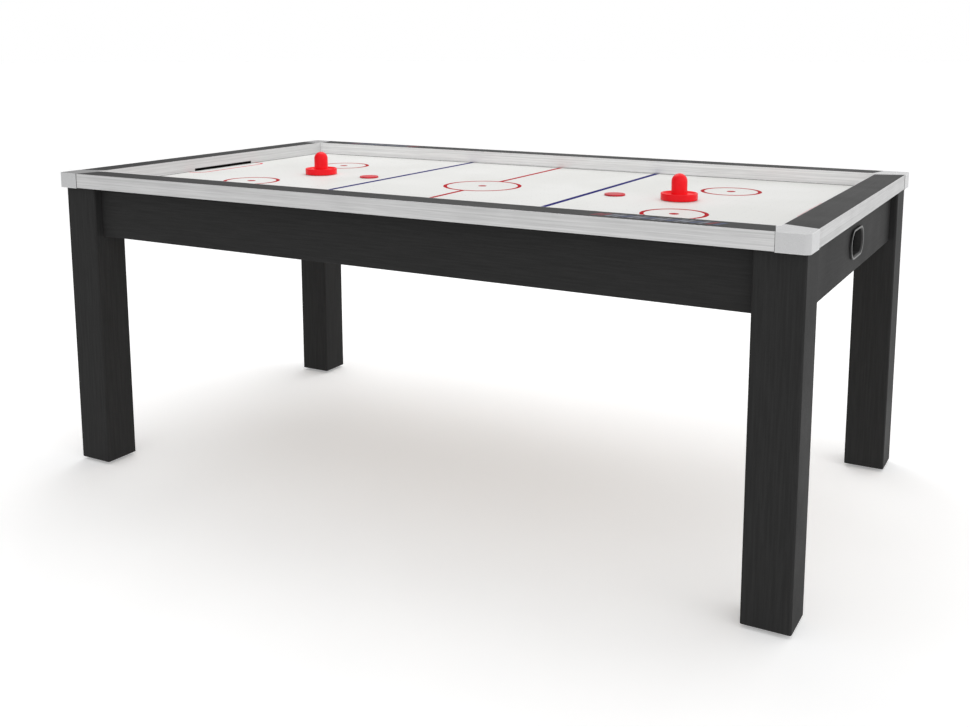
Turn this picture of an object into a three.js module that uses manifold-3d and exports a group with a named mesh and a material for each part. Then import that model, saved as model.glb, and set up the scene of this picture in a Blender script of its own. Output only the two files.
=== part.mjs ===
// Air hockey table, seven-foot class: a laminated playfield over an air plenum, framed by dark rail
// tops with brushed aluminium fascias and inner walls, on four box legs. Millimetres, +Z up. The origin
// is on the floor under the middle of the table; X runs from goal to goal, and -Y is the front long side.
import * as THREE from "three";
import { mergeVertices } from "three/addons/utils/BufferGeometryUtils.js";
import Module from "manifold-3d";

const wasm = await Module();
wasm.setup();

// ---------------------------------------------------------------- driving dimensions

const LENGTH = 2007; // over the corner caps, goal to goal
const WIDTH = 1115; // over the corner caps, side to side
const HEIGHT = 813; // floor to rail top
const GAP = 0.3; // clearance between neighbouring pieces

const RAIL_HEIGHT = 38; // fascia and rail body
const SIDE_RAIL_WIDTH = 73;
const END_RAIL_WIDTH = 75.5;
const WALL_THICK = 1.2; // aluminium walls round the playfield
const FASCIA_THICK = 0.9;
const CAP_PROUD = 0.8; // the caps stand this far outside the fascias
const CAP_THICK = 2.8;
const CAP_DROP = 1.5; // the caps' skirts hang this far below the fascias
const CAP_RADIUS = 12;
const CAP_ON_SIDE = 66; // reach of a cap's skirt along the long side
const CAP_ON_END = 72; // and along the end
const CAP_SLANT_SIDE = 18; // the top plate's seams slant inwards by these amounts
const CAP_SLANT_END = 24;

const FIELD_DROP = 37; // rail top to playfield
const FIELD_THICK = 12;
const PLENUM_DEPTH = 30; // air space under the playfield
const PLENUM_THICK = 6;
const PLENUM_HALF_LENGTH = 868;
const BATTEN_WIDTH = 18;
const BATTEN_INSET = 22.5; // playing face of a side wall to the batten under it
const GROOVE_DEPTH = 5; // the plenum panel sits in grooves of the side aprons

const LEG_LENGTH = 104; // leg section along X
const LEG_WIDTH = 99.5; // and along Y
const LEG_INSET_END = 8.4; // fascia to leg face
const LEG_INSET_SIDE = 16.8;
const LEG_RADIUS = 5;
const LEG_WALL = 19;
const LEG_FLOOR = 45; // solid block at the leg's foot
const LEG_CLEAR = 9; // floor to leg
const APRON_THICK = 15;
const APRON_DEPTH = 171.5; // rail top to the aprons' lower edge
const APRON_RECESS_SIDE = 25; // leg face to apron face
const APRON_RECESS_END = 18;

const GOAL_HALF_WIDTH = 125;
const GOAL_HEIGHT = 8;
const GOAL_BOX_LENGTH = 88;
const GOAL_BOX_HALF_WIDTH = 130;
const GOAL_BOX_SKIN = 3;
const GOAL_TROUGH_HALF_WIDTH = 62;
const GOAL_SHOULDER = 45; // rise of the sloped shoulders beside the trough
const GOAL_FALL = 14; // fall of the trough towards the return opening
const GOAL_FLANGE = 10; // the box's flange against the end apron
const RETURN_DEPTH = 105.5; // rail top to the centre of the return opening
const RETURN_WIDTH = 120;
const RETURN_HEIGHT = 55;
const RETURN_RADIUS = 27;
const BEZEL_LIP = 7; // width of the bezel's flange round the opening
const BEZEL_PROUD = 5.2;
const BEZEL_SLEEVE = 3;

const BOLT_RADIUS = 4;
const BOLT_SIDE = { x: 935, z: 690 }; // the leg's bolt through the side apron
const BOLT_END = { y: 470, z: 722 }; // and through the end apron

const PUCK_RADIUS = 26.5;
const PUCK_THICK = 4;
const PUCK_X = 380;
const MALLET_RADIUS = 45.5;
const MALLET_HEIGHT = 65;
const MALLET_RIM = 17; // height of the base's rim
const MALLET_GRIP = 19.6; // grip radius
const MALLET_X = 551;
const FELT_RADIUS = 39.5;
const FELT_THICK = 1.9;
const FELT_PROUD = 0.6;

const FAN_RADIUS = 88; // bore of the blower's housing
const FAN_DEPTH = 64;
const FAN_WALL = 4;
const FAN_FLANGE = 16; // the housing's flange reaches this far past its wall
const FLANGE_THICK = 3;
const BLADES = 7;
const FAN_FACETS = 72; // sides of the blower's large rounds
const MOTOR_RADIUS = 32.5;
const MOTOR_HEIGHT = 30;

const POWER_X = 150; // switch and inlet plate on the back apron
const POWER_Z = 690;
const PLATE_HALF_WIDTH = 26;
const PLATE_HALF_HEIGHT = 41;
const PLATE_THICK = 2.5;
const CUTOUT_HALF_WIDTH = 17; // the apron's hole behind the plate
const CUTOUT_HALF_HEIGHT = 35;
const POWER_SPREAD = 19; // switch above the plate's middle, inlet below it
const INLET_DEPTH = 27; // from the apron's face to the inlet's back
const LEAD_RADIUS = 3.2;

// ---------------------------------------------------------------- derived levels and faces

const HALF_LENGTH = LENGTH / 2;
const HALF_WIDTH = WIDTH / 2;
const RAIL_UNDER = HEIGHT - RAIL_HEIGHT;
const FIELD_TOP = HEIGHT - FIELD_DROP;
const FIELD_UNDER = FIELD_TOP - FIELD_THICK;
const PLENUM_TOP = FIELD_UNDER - PLENUM_DEPTH;
const PLENUM_UNDER = PLENUM_TOP - PLENUM_THICK;
const INNER_X = HALF_LENGTH - END_RAIL_WIDTH; // playing face of an end wall
const INNER_Y = HALF_WIDTH - SIDE_RAIL_WIDTH; // playing face of a side wall
const WALL_BACK_X = INNER_X + WALL_THICK;
const WALL_BACK_Y = INNER_Y + WALL_THICK;
const FASCIA_X = HALF_LENGTH - CAP_PROUD;
const FASCIA_Y = HALF_WIDTH - CAP_PROUD;
const BODY_X = HALF_LENGTH - CAP_THICK - GAP; // outer faces of the rail bodies under the caps
const BODY_Y = HALF_WIDTH - CAP_THICK - GAP;
const SHOULDER_X = FASCIA_X - FASCIA_THICK - GAP; // and between the caps, behind the fascias
const SHOULDER_Y = FASCIA_Y - FASCIA_THICK - GAP;
const SEAM_X = HALF_LENGTH - CAP_ON_SIDE - GAP; // ends of the fascias
const SEAM_Y = HALF_WIDTH - CAP_ON_END - GAP;
const LEG_X = HALF_LENGTH - LEG_INSET_END; // outer faces of the legs
const LEG_Y = HALF_WIDTH - LEG_INSET_SIDE;
const APRON_X = LEG_X - APRON_RECESS_END; // outer faces of the aprons
const APRON_Y = LEG_Y - APRON_RECESS_SIDE;
const APRON_UNDER = HEIGHT - APRON_DEPTH;
const APRON_TOP = RAIL_UNDER - GAP;
const RETURN_Z = HEIGHT - RETURN_DEPTH;
const BATTEN_Y = INNER_Y - BATTEN_INSET; // inner faces of the long battens

// ---------------------------------------------------------------- materials

function standard(color, roughness, metalness) {
  return new THREE.MeshStandardMaterial({ color, roughness, metalness });
}

const finish = {
  laminate: standard(0x3c3c3c, 0.55, 0),
  railTop: standard(0x4a4a4a, 0.5, 0),
  brushed: standard(0xd4d4d4, 0.35, 0.85),
  cast: standard(0xbcbcbc, 0.4, 0.8),
  playfield: standard(0xe8e8e6, 0.3, 0),
  board: standard(0x8a7355, 0.8, 0),
  blackPlastic: standard(0x141414, 0.5, 0),
  greyPlastic: standard(0x6f6f6f, 0.45, 0),
  redPlastic: standard(0xe8202c, 0.3, 0),
  puckPlastic: standard(0xcc4450, 0.35, 0),
  felt: standard(0x222222, 0.95, 0),
  steel: standard(0x9a9a9a, 0.35, 0.9),
  rubber: standard(0x1c1c1c, 0.8, 0),
};

// ---------------------------------------------------------------- geometry helpers

function box([x0, x1], [y0, y1], [z0, z1]) {
  const shape = new THREE.BoxGeometry(x1 - x0, y1 - y0, z1 - z0);
  return shape.translate((x0 + x1) / 2, (y0 + y1) / 2, (z0 + z1) / 2);
}

function roundedRectangle(halfWidth, halfHeight, radius) {
  const shape = new THREE.Shape();
  const cx = halfWidth - radius;
  const cy = halfHeight - radius;
  shape.absarc(cx, cy, radius, 0, Math.PI / 2);
  shape.absarc(-cx, cy, radius, Math.PI / 2, Math.PI);
  shape.absarc(-cx, -cy, radius, Math.PI, Math.PI * 1.5);
  shape.absarc(cx, -cy, radius, Math.PI * 1.5, Math.PI * 2);
  shape.closePath();
  return shape;
}

function outline(points) {
  return new THREE.Shape(points.map(([x, y]) => new THREE.Vector2(x, y)));
}

// Extrusions of an outline: upwards, and along X or Y of an outline drawn in (y, z) or (x, z).
function extrudeZ(shape, z0, z1, curveSegments = 5) {
  const solid = new THREE.ExtrudeGeometry(shape, { depth: z1 - z0, bevelEnabled: false, curveSegments });
  return solid.translate(0, 0, z0);
}

function extrudeX(shape, x0, x1, curveSegments = 5) {
  return extrudeZ(shape, x0, x1, curveSegments).rotateX(Math.PI / 2).rotateZ(Math.PI / 2);
}

function extrudeY(shape, y0, y1, curveSegments = 5) {
  return extrudeZ(shape, -y1, -y0, curveSegments).rotateX(Math.PI / 2);
}

function cylinderZ(radius, z0, z1, segments = 48) {
  const solid = new THREE.CylinderGeometry(radius, radius, z1 - z0, segments);
  return solid.rotateX(Math.PI / 2).translate(0, 0, (z0 + z1) / 2);
}

// A turned solid about Z, from a profile of (radius, height) points that starts and ends on the axis.
function turned(profile, segments) {
  const points = profile.map(([radius, height]) => new THREE.Vector2(radius, height));
  return new THREE.LatheGeometry(points, segments).rotateX(Math.PI / 2);
}

// A straight-sided solid between two outlines in (y, z) with the same number of points, at x0 and x1.
function loftX(near, x0, far, x1) {
  const vertices = [...near.map((p) => [x0, ...p]), ...far.map((p) => [x1, ...p])].flat();
  const count = near.length;
  const triangles = [];
  for (let i = 0; i < count; i += 1) {
    const next = (i + 1) % count;
    triangles.push(i, next, count + next, i, count + next, count + i);
  }
  for (const [a, b, c] of THREE.ShapeUtils.triangulateShape(outline(near).getPoints(), [])) {
    triangles.push(a, c, b);
    triangles.push(count + a, count + b, count + c);
  }
  const solid = new THREE.BufferGeometry();
  solid.setAttribute("position", new THREE.Float32BufferAttribute(vertices, 3));
  return solid.setIndex(triangles);
}

function toSolid(geometry) {
  const bare = geometry.clone();
  bare.deleteAttribute("normal");
  bare.deleteAttribute("uv");
  const merged = mergeVertices(bare, 1e-3);
  const index = merged.index.array;
  const triangles = [];
  for (let i = 0; i < index.length; i += 3) {
    const [a, b, c] = [index[i], index[i + 1], index[i + 2]];
    if (a !== b && b !== c && c !== a) triangles.push(a, b, c);
  }
  const vertProperties = new Float32Array(merged.attributes.position.array);
  const triVerts = new Uint32Array(triangles);
  return new wasm.Manifold(new wasm.Mesh({ numProp: 3, vertProperties, triVerts }));
}

function toGeometry(solid) {
  const { vertProperties, triVerts } = solid.getMesh();
  const geometry = new THREE.BufferGeometry();
  geometry.setAttribute("position", new THREE.Float32BufferAttribute(vertProperties, 3));
  geometry.setIndex([...triVerts]);
  geometry.computeVertexNormals();
  return geometry;
}

// The union of some geometries, less the union of others.
function carve(added, removed = []) {
  let solid = toSolid(added[0]);
  for (const geometry of added.slice(1)) solid = solid.add(toSolid(geometry));
  for (const geometry of removed) solid = solid.subtract(toSolid(geometry));
  return toGeometry(solid);
}

const table = new THREE.Group();
table.name = "air_hockey_table";

function piece(parent, name, geometry, material, position = [0, 0, 0]) {
  const mesh = new THREE.Mesh(geometry, material.clone());
  mesh.name = name;
  mesh.position.set(...position);
  parent.add(mesh);
  return mesh;
}

// Groups that mirror the +X, +Y quarter of the table to a side, an end or a corner.
function mirrored(signX, signY) {
  const group = new THREE.Group();
  group.scale.set(signX, signY, 1);
  table.add(group);
  return group;
}

const SIDES = [["front", -1], ["back", 1]];
const ENDS = [["left", -1], ["right", 1]];

// ---------------------------------------------------------------- rails, fascias, walls and corner caps

// The cap's top plate: its outer corner is rounded, and its two seams cross the fascias squarely and
// then slant in towards the playfield.
function capPlan(inset, grow) {
  const outerX = HALF_LENGTH - inset;
  const outerY = HALF_WIDTH - inset;
  const sideSeam = HALF_LENGTH - CAP_ON_SIDE - grow;
  const endSeam = HALF_WIDTH - CAP_ON_END - grow;
  const wallX = WALL_BACK_X + GAP - grow;
  const wallY = WALL_BACK_Y + GAP - grow;
  const radius = CAP_RADIUS - inset;
  const plan = new THREE.Shape();
  plan.moveTo(sideSeam - CAP_SLANT_SIDE, wallY);
  plan.lineTo(wallX, wallY);
  plan.lineTo(wallX, endSeam - CAP_SLANT_END);
  plan.lineTo(BODY_X, endSeam);
  plan.lineTo(outerX, endSeam);
  plan.absarc(outerX - radius, outerY - radius, radius, 0, Math.PI / 2);
  plan.lineTo(sideSeam, outerY);
  plan.lineTo(sideSeam, BODY_Y);
  plan.closePath();
  return plan;
}

// The cap's corner below the plate, seen from above: solid to the given inset from the outer faces,
// and reaching back past the skirt's two ends by the given amount.
function cornerPlan(inset, reach) {
  const startX = HALF_LENGTH - CAP_ON_SIDE - reach;
  const startY = HALF_WIDTH - CAP_ON_END - reach;
  const outerX = HALF_LENGTH - inset;
  const outerY = HALF_WIDTH - inset;
  const radius = CAP_RADIUS - inset;
  const plan = new THREE.Shape();
  plan.moveTo(startX, startY);
  plan.lineTo(outerX, startY);
  plan.absarc(outerX - radius, outerY - radius, radius, 0, Math.PI / 2);
  plan.lineTo(startX, outerY);
  plan.closePath();
  return plan;
}

// The room for a cap's plate, at the corner given by two signs.
function capRebate(signX, signY) {
  const points = capPlan(-1, GAP).getPoints(6).map(({ x, y }) => [signX * x, signY * y]);
  return extrudeZ(outline(points), HEIGHT - CAP_THICK - GAP, HEIGHT + 1);
}

function cornerCap() {
  const plate = extrudeZ(capPlan(0, 0), HEIGHT - CAP_THICK, HEIGHT, 6);
  const block = extrudeZ(cornerPlan(0, 0), RAIL_UNDER - CAP_DROP, HEIGHT - CAP_THICK / 2, 6);
  const hollow = extrudeZ(cornerPlan(CAP_THICK, 1), RAIL_UNDER - CAP_DROP - 1, HEIGHT - CAP_THICK, 6);
  return carve([carve([block], [hollow]), plate]);
}

// Both ends of a side rail run under the caps, so each end is rebated for a cap's plate.
function sideRail() {
  const inner = WALL_BACK_Y + GAP;
  const chamfer = CAP_RADIUS - CAP_THICK; // clears the inside of the cap's rounded corner
  const plan = outline([
    [-BODY_X, inner], [BODY_X, inner], [BODY_X, BODY_Y - chamfer], [BODY_X - chamfer, BODY_Y],
    [chamfer - BODY_X, BODY_Y], [-BODY_X, BODY_Y - chamfer],
  ]);
  const body = extrudeZ(plan, RAIL_UNDER, HEIGHT);
  const shoulder = box([-SEAM_X, SEAM_X], [BODY_Y - 1, SHOULDER_Y], [RAIL_UNDER, HEIGHT]);
  return carve([body, shoulder], [capRebate(-1, 1), capRebate(1, 1)]);
}

function endRail() {
  const body = box([WALL_BACK_X + GAP, BODY_X], [-WALL_BACK_Y, WALL_BACK_Y], [RAIL_UNDER, HEIGHT]);
  const shoulder = box([BODY_X - 1, SHOULDER_X], [-SEAM_Y, SEAM_Y], [RAIL_UNDER, HEIGHT]);
  const pocketHalf = GOAL_HALF_WIDTH + 1;
  const pocketTop = FIELD_TOP + GOAL_HEIGHT + 0.5;
  const pocket = box(
    [WALL_BACK_X, APRON_X - APRON_THICK + GAP],
    [-pocketHalf, pocketHalf],
    [RAIL_UNDER - 1, pocketTop],
  );
  return carve([body, shoulder], [capRebate(1, -1), capRebate(1, 1), pocket]);
}

function endWall() {
  const wall = box([INNER_X, WALL_BACK_X], [-WALL_BACK_Y, WALL_BACK_Y], [FIELD_TOP + GAP, HEIGHT]);
  const slot = box(
    [INNER_X - 1, WALL_BACK_X + 1],
    [-GOAL_HALF_WIDTH, GOAL_HALF_WIDTH],
    [FIELD_TOP - 1, FIELD_TOP + GOAL_HEIGHT],
  );
  return carve([wall], [slot]);
}

function addRails() {
  for (const [side, sign] of SIDES) {
    const group = mirrored(1, sign);
    const fascia = box([-SEAM_X, SEAM_X], [FASCIA_Y - FASCIA_THICK, FASCIA_Y], [RAIL_UNDER, HEIGHT]);
    const wall = box([-INNER_X + GAP, INNER_X - GAP], [INNER_Y, WALL_BACK_Y], [FIELD_TOP + GAP, HEIGHT]);
    piece(group, `side_rail_${side}`, sideRail(), finish.railTop);
    piece(group, `side_fascia_${side}`, fascia, finish.brushed);
    piece(group, `side_wall_${side}`, wall, finish.brushed);
  }
  for (const [end, sign] of ENDS) {
    const group = mirrored(sign, 1);
    const fascia = box([FASCIA_X - FASCIA_THICK, FASCIA_X], [-SEAM_Y, SEAM_Y], [RAIL_UNDER, HEIGHT]);
    piece(group, `end_rail_${end}`, endRail(), finish.railTop);
    piece(group, `end_fascia_${end}`, fascia, finish.brushed);
    piece(group, `end_wall_${end}`, endWall(), finish.brushed);
  }
}

// ---------------------------------------------------------------- playfield and air plenum

function addPlayfield() {
  const field = box([-WALL_BACK_X, WALL_BACK_X], [-WALL_BACK_Y, WALL_BACK_Y], [FIELD_UNDER, FIELD_TOP]);
  piece(table, "playfield_panel", field, finish.playfield);

  const panelY = APRON_Y - APRON_THICK + GROOVE_DEPTH - GAP;
  const panel = box([-PLENUM_HALF_LENGTH, PLENUM_HALF_LENGTH], [-panelY, panelY], [PLENUM_UNDER, PLENUM_TOP]);
  const airHole = cylinderZ(FAN_RADIUS - 4, PLENUM_UNDER - 1, PLENUM_TOP + 1, FAN_FACETS);
  piece(table, "plenum_panel", carve([panel], [airHole]), finish.board);

  const levels = [PLENUM_TOP + GAP, FIELD_UNDER - GAP];
  const endInner = PLENUM_HALF_LENGTH - BATTEN_WIDTH;
  for (const [side, sign] of SIDES) {
    const across = [BATTEN_Y, BATTEN_Y + BATTEN_WIDTH];
    const batten = box([-PLENUM_HALF_LENGTH, PLENUM_HALF_LENGTH], across, levels);
    piece(mirrored(1, sign), `plenum_batten_${side}`, batten, finish.board);
  }
  for (const [end, sign] of ENDS) {
    const batten = box([endInner, PLENUM_HALF_LENGTH], [GAP - BATTEN_Y, BATTEN_Y - GAP], levels);
    piece(mirrored(sign, 1), `plenum_batten_${end}`, batten, finish.board);
  }
}

// ---------------------------------------------------------------- aprons

function powerCutout() {
  return box(
    [POWER_X - CUTOUT_HALF_WIDTH, POWER_X + CUTOUT_HALF_WIDTH],
    [APRON_Y - APRON_THICK - 1, APRON_Y + 1],
    [POWER_Z - CUTOUT_HALF_HEIGHT, POWER_Z + CUTOUT_HALF_HEIGHT],
  );
}

function boltHole(length) {
  return cylinderZ(BOLT_RADIUS + 0.4, 0, length, 12);
}

function sideApron(hasPowerPlate) {
  const inner = APRON_Y - APRON_THICK;
  const body = box([-APRON_X, APRON_X], [inner, APRON_Y], [APRON_UNDER, APRON_TOP]);
  const groove = box(
    [-PLENUM_HALF_LENGTH - GAP, PLENUM_HALF_LENGTH + GAP],
    [inner - 1, inner + GROOVE_DEPTH],
    [PLENUM_UNDER - GAP, PLENUM_TOP + GAP],
  );
  const holes = [-BOLT_SIDE.x, BOLT_SIDE.x].map((x) =>
    boltHole(APRON_THICK + 2).rotateX(-Math.PI / 2).translate(x, inner - 1, BOLT_SIDE.z),
  );
  return carve([body], [groove, ...holes, ...(hasPowerPlate ? [powerCutout()] : [])]);
}

// The return opening's outline, grown by the given amount all round.
function returnOutline(grow) {
  return roundedRectangle(RETURN_WIDTH / 2 + grow, RETURN_HEIGHT / 2 + grow, RETURN_RADIUS + grow);
}

function endApron() {
  const inner = APRON_X - APRON_THICK;
  const halfWidth = APRON_Y - APRON_THICK - GAP;
  const body = box([inner, APRON_X], [-halfWidth, halfWidth], [APRON_UNDER, APRON_TOP]);
  const window = returnOutline(BEZEL_SLEEVE + GAP);
  const opening = extrudeX(window, inner - 1, APRON_X + 1).translate(0, 0, RETURN_Z);
  const holes = [-BOLT_END.y, BOLT_END.y].map((y) =>
    boltHole(APRON_THICK + 2).rotateY(Math.PI / 2).translate(inner - 1, y, BOLT_END.z),
  );
  return carve([body], [opening, ...holes]);
}

function addAprons() {
  for (const [side, sign] of SIDES) {
    piece(mirrored(1, sign), `side_apron_${side}`, sideApron(side === "back"), finish.laminate);
  }
  for (const [end, sign] of ENDS) {
    piece(mirrored(sign, 1), `end_apron_${end}`, endApron(), finish.laminate);
  }
}

// ---------------------------------------------------------------- goal boxes and return bezels

// The box's section widens upwards from a flat trough, and its floor falls towards the return opening.
function goalSection(skin, floor, top) {
  const halfTop = GOAL_BOX_HALF_WIDTH - skin;
  const halfFloor = GOAL_TROUGH_HALF_WIDTH - skin;
  return [
    [-halfTop, top],
    [-halfTop, floor + GOAL_SHOULDER],
    [-halfFloor, floor + skin],
    [halfFloor, floor + skin],
    [halfTop, floor + GOAL_SHOULDER],
    [halfTop, top],
  ];
}

function goalBox() {
  const x1 = APRON_X - APRON_THICK - GAP;
  const x0 = x1 - GOAL_BOX_LENGTH;
  const top = FIELD_UNDER - GAP;
  const nearFloor = RETURN_Z - RETURN_HEIGHT / 2 - GOAL_BOX_SKIN;
  const farFloor = nearFloor + GOAL_FALL;
  const slope = GOAL_FALL / GOAL_BOX_LENGTH;
  const over = 5; // the hollow's cutter runs this far past the open top and the open end
  const shell = loftX(goalSection(0, farFloor, top), x0, goalSection(0, nearFloor, top), x1);
  const hollow = loftX(
    goalSection(GOAL_BOX_SKIN, farFloor - slope * GOAL_BOX_SKIN, top + over),
    x0 + GOAL_BOX_SKIN,
    goalSection(GOAL_BOX_SKIN, nearFloor - slope * over, top + over),
    x1 + over,
  );
  const flange = box(
    [x1 - GOAL_BOX_SKIN, x1],
    [-GOAL_BOX_HALF_WIDTH - GOAL_FLANGE, GOAL_BOX_HALF_WIDTH + GOAL_FLANGE],
    [nearFloor - GOAL_FLANGE, top],
  );
  return carve([shell, flange], [hollow]);
}

function returnBezel() {
  const outer = APRON_X + GAP + BEZEL_PROUD;
  const inner = APRON_X - APRON_THICK;
  const lip = extrudeX(returnOutline(BEZEL_LIP), APRON_X + GAP, outer);
  const sleeve = extrudeX(returnOutline(BEZEL_SLEEVE), inner, outer - 1);
  const bore = extrudeX(returnOutline(0), inner - 1, outer + 1);
  return carve([lip, sleeve], [bore]);
}

function addGoals() {
  for (const [end, sign] of ENDS) {
    const group = mirrored(sign, 1);
    piece(group, `goal_box_${end}`, goalBox(), finish.blackPlastic);
    piece(group, `return_bezel_${end}`, returnBezel(), finish.greyPlastic, [0, 0, RETURN_Z]);
  }
}

// ---------------------------------------------------------------- legs, leg bolts and levelers

// A hollow box leg. Its two outer walls rise past the apron corner, which rests on its two inner walls.
function leg() {
  const centreX = LEG_X - LEG_LENGTH / 2;
  const centreY = LEG_Y - LEG_WIDTH / 2;
  const section = roundedRectangle(LEG_LENGTH / 2, LEG_WIDTH / 2, LEG_RADIUS);
  const body = extrudeZ(section, LEG_CLEAR, APRON_TOP, 4).translate(centreX, centreY, 0);
  const cabinetX = APRON_X + GAP;
  const cabinetY = APRON_Y + GAP;
  const hollow = box(
    [LEG_X - LEG_LENGTH + LEG_WALL, cabinetX],
    [LEG_Y - LEG_WIDTH + LEG_WALL, cabinetY],
    [LEG_CLEAR + LEG_FLOOR, APRON_TOP],
  );
  const notch = box(
    [LEG_X - LEG_LENGTH - 1, cabinetX],
    [LEG_Y - LEG_WIDTH - 1, cabinetY],
    [APRON_UNDER - GAP, APRON_TOP + 1],
  );
  const footHole = boltHole(LEG_FLOOR - 5).translate(centreX, centreY, LEG_CLEAR - 1);
  const sideHole = boltHole(20).rotateX(-Math.PI / 2).translate(BOLT_SIDE.x, cabinetY - 1, BOLT_SIDE.z);
  const endHole = boltHole(15).rotateY(Math.PI / 2).translate(cabinetX - 1, BOLT_END.y, BOLT_END.z);
  return carve([body], [hollow, notch, footHole, sideHole, endHole]);
}

// A flange-head bolt along +Z, its flange's bearing face at 0.
function legBolt(shank) {
  const head = [[0, -7], [6, -7], [6.8, -6], [6.8, -2], [10, -1.6], [10, 0]];
  return turned([...head, [BOLT_RADIUS, 0], [BOLT_RADIUS, shank], [0, shank]], 10);
}

function leveler() {
  return turned(
    [[0, 0], [12, 0], [13, 1], [13, 6.4], [11, 8.4], [BOLT_RADIUS, 8.4], [BOLT_RADIUS, 40], [0, 40]],
    16,
  );
}

function addLegs() {
  const innerSide = APRON_Y - APRON_THICK - GAP;
  const innerEnd = APRON_X - APRON_THICK - GAP;
  for (const [side, signY] of SIDES) {
    for (const [end, signX] of ENDS) {
      const corner = mirrored(signX, signY);
      const place = `${side}_${end}`;
      const sideBolt = legBolt(33).rotateX(-Math.PI / 2);
      const endBolt = legBolt(27).rotateY(Math.PI / 2);
      piece(corner, `corner_cap_${place}`, cornerCap(), finish.cast);
      piece(corner, `leg_${place}`, leg(), finish.laminate);
      piece(corner, `leg_bolt_side_${place}`, sideBolt, finish.steel, [BOLT_SIDE.x, innerSide, BOLT_SIDE.z]);
      piece(corner, `leg_bolt_end_${place}`, endBolt, finish.steel, [innerEnd, BOLT_END.y, BOLT_END.z]);
      const foot = [LEG_X - LEG_LENGTH / 2, LEG_Y - LEG_WIDTH / 2, 0];
      piece(corner, `leg_leveler_${place}`, leveler(), finish.rubber, foot);
    }
  }
}

// ---------------------------------------------------------------- mallets and pucks

// The base is dished inside a raised rim, the grip ends in a dome, and the underside holds the felt in
// a recess.
function mallet() {
  const recess = FELT_THICK - FELT_PROUD + GAP;
  const recessRadius = FELT_RADIUS + 0.5;
  const domeStart = MALLET_HEIGHT - MALLET_GRIP;
  const profile = [
    [0, recess], [recessRadius, recess], [recessRadius, 0], [MALLET_RADIUS - 1.3, 0], [MALLET_RADIUS, 1.4],
    [MALLET_RADIUS, MALLET_RIM - 2], [MALLET_RADIUS - 1.5, MALLET_RIM], [MALLET_RADIUS - 4, MALLET_RIM],
    [39.5, 14], [34.5, 10.2], [26, 9], [21.5, 10.5], [MALLET_GRIP, 14],
  ];
  const steps = 6;
  for (let i = 0; i < steps; i += 1) {
    const angle = (i / steps) * (Math.PI / 2);
    profile.push([MALLET_GRIP * Math.cos(angle), domeStart + MALLET_GRIP * Math.sin(angle)]);
  }
  profile.push([0, MALLET_HEIGHT]);
  return turned(profile, 32);
}

function puck() {
  const bevel = 0.8;
  return turned(
    [
      [0, 0], [PUCK_RADIUS - bevel, 0], [PUCK_RADIUS, bevel], [PUCK_RADIUS, PUCK_THICK - bevel],
      [PUCK_RADIUS - bevel, PUCK_THICK], [0, PUCK_THICK],
    ],
    32,
  );
}

function addPlayPieces() {
  const rest = FIELD_TOP + GAP;
  for (const [end, sign] of ENDS) {
    const felt = cylinderZ(FELT_RADIUS, 0, FELT_THICK, 32);
    piece(table, `mallet_${end}`, mallet(), finish.redPlastic, [sign * MALLET_X, 0, rest + FELT_PROUD]);
    piece(table, `mallet_felt_${end}`, felt, finish.felt, [sign * MALLET_X, 0, rest]);
    piece(table, `puck_${end}`, puck(), finish.puckPlastic, [sign * PUCK_X, 0, rest]);
  }
}

// ---------------------------------------------------------------- blower under the plenum

const FAN_TOP = PLENUM_UNDER - GAP;
const FAN_BOTTOM = FAN_TOP - FAN_DEPTH;
const CUP_FLOOR = 3;
const SHAFT_RADIUS = 3;
const GLAND_Z = FAN_BOTTOM + 36;
const GLAND_Y = FAN_RADIUS + FAN_WALL + 12;

function spokes(count, inner, outer, width, z0, z1) {
  return Array.from({ length: count }, (_, i) =>
    box([inner, outer], [-width / 2, width / 2], [z0, z1]).rotateZ((i / count) * Math.PI * 2),
  );
}

function blowerHousing() {
  const outer = FAN_RADIUS + FAN_WALL;
  const cup = MOTOR_RADIUS + 3.5;
  const gland = cylinderZ(6, 0, GLAND_Y - FAN_RADIUS, 12)
    .rotateX(-Math.PI / 2)
    .translate(0, FAN_RADIUS, GLAND_Z);
  const tube = carve(
    [
      cylinderZ(outer, FAN_BOTTOM, FAN_TOP, FAN_FACETS),
      cylinderZ(outer + FAN_FLANGE, FAN_TOP - FLANGE_THICK, FAN_TOP, FAN_FACETS),
      gland,
    ],
    [cylinderZ(FAN_RADIUS, FAN_BOTTOM - 1, FAN_TOP + 1, FAN_FACETS)],
  );
  const arms = spokes(4, cup - 2, FAN_RADIUS + 2, 6, FAN_BOTTOM, FAN_BOTTOM + 7);
  const motorSeat = cylinderZ(MOTOR_RADIUS + GAP, FAN_BOTTOM + CUP_FLOOR, FAN_BOTTOM + 40);
  return carve([tube, cylinderZ(cup, FAN_BOTTOM, FAN_BOTTOM + 14), ...arms], [motorSeat]);
}

function blowerMotor() {
  const top = MOTOR_HEIGHT;
  const bore = SHAFT_RADIUS + 0.3;
  return turned(
    [
      [0, 0], [MOTOR_RADIUS - 1, 0], [MOTOR_RADIUS, 1], [MOTOR_RADIUS, top - 4], [MOTOR_RADIUS - 4, top],
      [bore, top], [bore, top - 12], [0, top - 12],
    ],
    64,
  );
}

function blowerImpeller() {
  const hubTop = 23;
  const hub = turned(
    [
      [0, -10], [SHAFT_RADIUS, -10], [SHAFT_RADIUS, 2], [30, 2], [31, 3], [31, hubTop - 5],
      [26, hubTop], [0, hubTop],
    ],
    56,
  );
  const blades = Array.from({ length: BLADES }, (_, i) =>
    box([28, FAN_RADIUS - 4], [-13, 13], [-1, 1])
      .rotateX(THREE.MathUtils.degToRad(35))
      .translate(0, 0, 12)
      .rotateZ((i / BLADES) * Math.PI * 2),
  );
  return carve([hub, ...blades]);
}

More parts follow.
